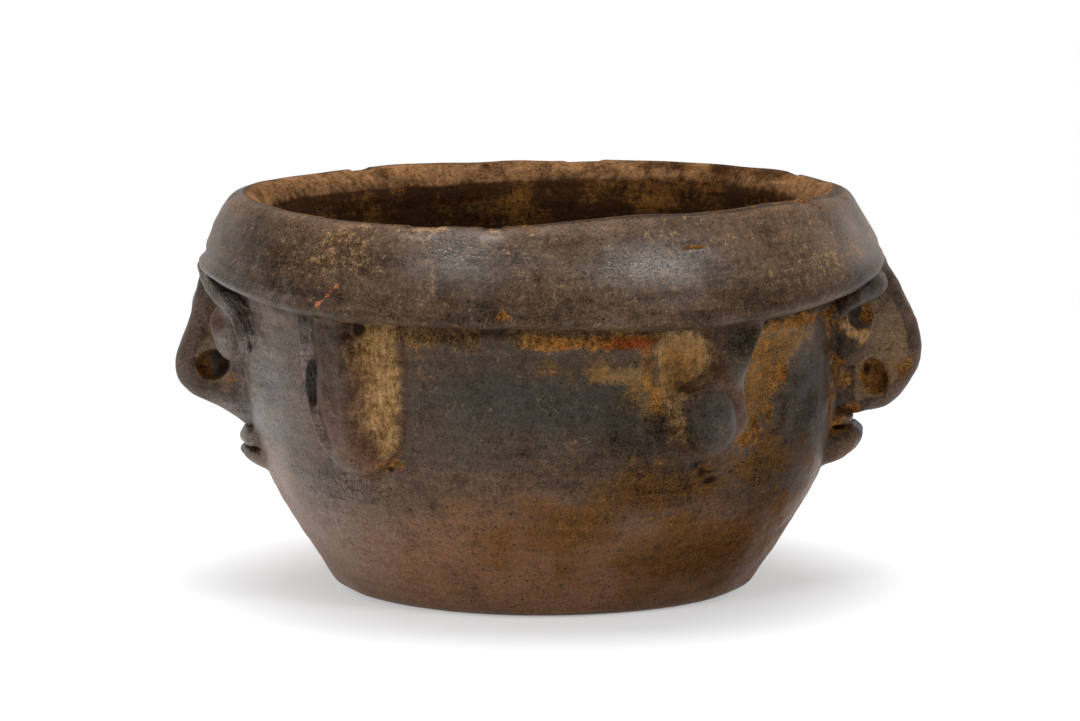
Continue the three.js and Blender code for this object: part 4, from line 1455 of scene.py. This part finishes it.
BOARD_COLOUR = (0.9, 0.9, 0.905, 1)
GLOW_NEAR, GLOW_REACH = 0.36, 0.5


def white_board():
    """A white board that runs on into a white background."""
    material = bpy.data.materials.new("white board")
    n = Nodes(material)
    path = n.add("ShaderNodeLightPath").outputs
    seen = n.most(path["Is Camera Ray"], path["Is Glossy Ray"], path["Is Transmission Ray"])
    diffuse = n.add("ShaderNodeBsdfDiffuse", {"Color": BOARD_COLOUR, "Roughness": 0.3})
    glow = n.add("ShaderNodeEmission", {"Color": (1, 1, 1, 1), "Strength": 1.0})
    where = n.add("ShaderNodeTexCoord").outputs["Object"]
    away = n.add("ShaderNodeVectorMath", {0: where}, operation="LENGTH").outputs["Value"]
    share = n.times(seen, n.step(away, 0.0, GLOW_REACH, GLOW_NEAR, 1.0))
    mix = n.add("ShaderNodeMixShader", {0: share, 1: diffuse.outputs[0], 2: glow.outputs[0]})
    n.add("ShaderNodeOutputMaterial", {"Surface": mix.outputs[0]})
    return material


def make_floor():
    """One sheet: flat under the pot, then curving up behind it."""
    half, front, back, bend, top, steps = 1.6, -0.95, 1.2, 0.6, 1.6, 12
    profile = [(front, 0.0), (-0.4, 0.0), (0.0, 0.0), (back, 0.0)]
    for i in range(1, steps + 1):
        turn = math.radians(90 * i / steps)
        profile.append((back + bend * math.sin(turn), bend * (1 - math.cos(turn))))
    profile.append((back + bend, top))
    points = [(x, y, z) for y, z in profile for x in (-half, half)]
    faces = [(2 * i, 2 * i + 1, 2 * i + 3, 2 * i + 2) for i in range(len(profile) - 1)]
    mesh = bpy.data.meshes.new("floor")
    mesh.from_pydata(points, [], faces)
    mesh.materials.append(white_board())
    mesh.polygons.foreach_set("use_smooth", [True] * len(faces))
    floor = add_object("floor", mesh)


# Softboxes: place, size in metres, power in watts
SOFTBOXES = {
    "top": ((0, 0.1, 1.0), 0.8, 16.5),
    "right front": ((0.72, -0.76, 0.7), 0.3, 4.2),
    "left front": ((-0.6, -0.95, 0.6), 0.36, 2.8),
}
LIGHT_AIM = (0, 0, 0.05)
ROOM, LEFT_WALL, RIGHT_WALL, BACKDROP, CEILING = 0.06, 0.75, 0.12, 0.35, 0.22


def make_lights():
    for name, (place, size, power) in SOFTBOXES.items():
        light = bpy.data.lights.new(name, "AREA")
        light.shape = "SQUARE"
        light.size = size
        light.energy = power
        lamp = add_object(name, light)
        lamp.location = place
        way = Vector(LIGHT_AIM) - Vector(place)
        lamp.rotation_euler = way.to_track_quat("-Z", "Y").to_euler()
    bpy.context.scene.world = studio()


def studio():
    """White behind the pot and on its left, dimmer on its right and behind the camera."""
    world = bpy.data.worlds.new("studio")
    n = Nodes(world)
    path = n.add("ShaderNodeLightPath").outputs
    way = n.add("ShaderNodeTexCoord").outputs["Generated"]
    x, y, z = n.add("ShaderNodeSeparateXYZ", {0: way}).outputs
    glow = n.sum(ROOM, n.step(x, -0.2, -0.9, 0, LEFT_WALL), n.step(x, 0.2, 0.9, 0, RIGHT_WALL),
                 n.step(y, 0.1, 0.7, 0, BACKDROP), n.step(z, 0.3, 0.9, 0, CEILING))
    mirrored = n.most(path["Is Glossy Ray"], path["Is Transmission Ray"])
    seen = n.most(path["Is Camera Ray"], n.times(mirrored, n.step(y, -0.1, 0.4)))
    strength = n.sum(seen, n.times(n.math("SUBTRACT", 1, seen), glow))
    background = n.add("ShaderNodeBackground", {"Color": (1, 1, 1, 1), "Strength": strength})
    n.add("ShaderNodeOutputWorld", {"Surface": background.outputs[0]})
    return world


# The photograph is 1080 pixels wide, and its camera sees the pot this large and this tilted
CAMERA_AT = (-0.00078, -1.0, 0.1993)
CAMERA_TILT = 8.55
CAMERA_LENS = 151.6
SENSOR = 36


def make_camera():
    data = bpy.data.cameras.new("camera")
    data.sensor_width = SENSOR
    data.lens = CAMERA_LENS
    data.clip_start = 0.01
    camera = add_object("camera", data)
    camera.location = CAMERA_AT
    camera.rotation_euler = (math.radians(90 - CAMERA_TILT), 0, 0)
    bpy.context.scene.camera = camera


bpy.context.scene.view_settings.view_transform = "Standard"
make_camera()
make_floor()
make_lights()
make_pot()
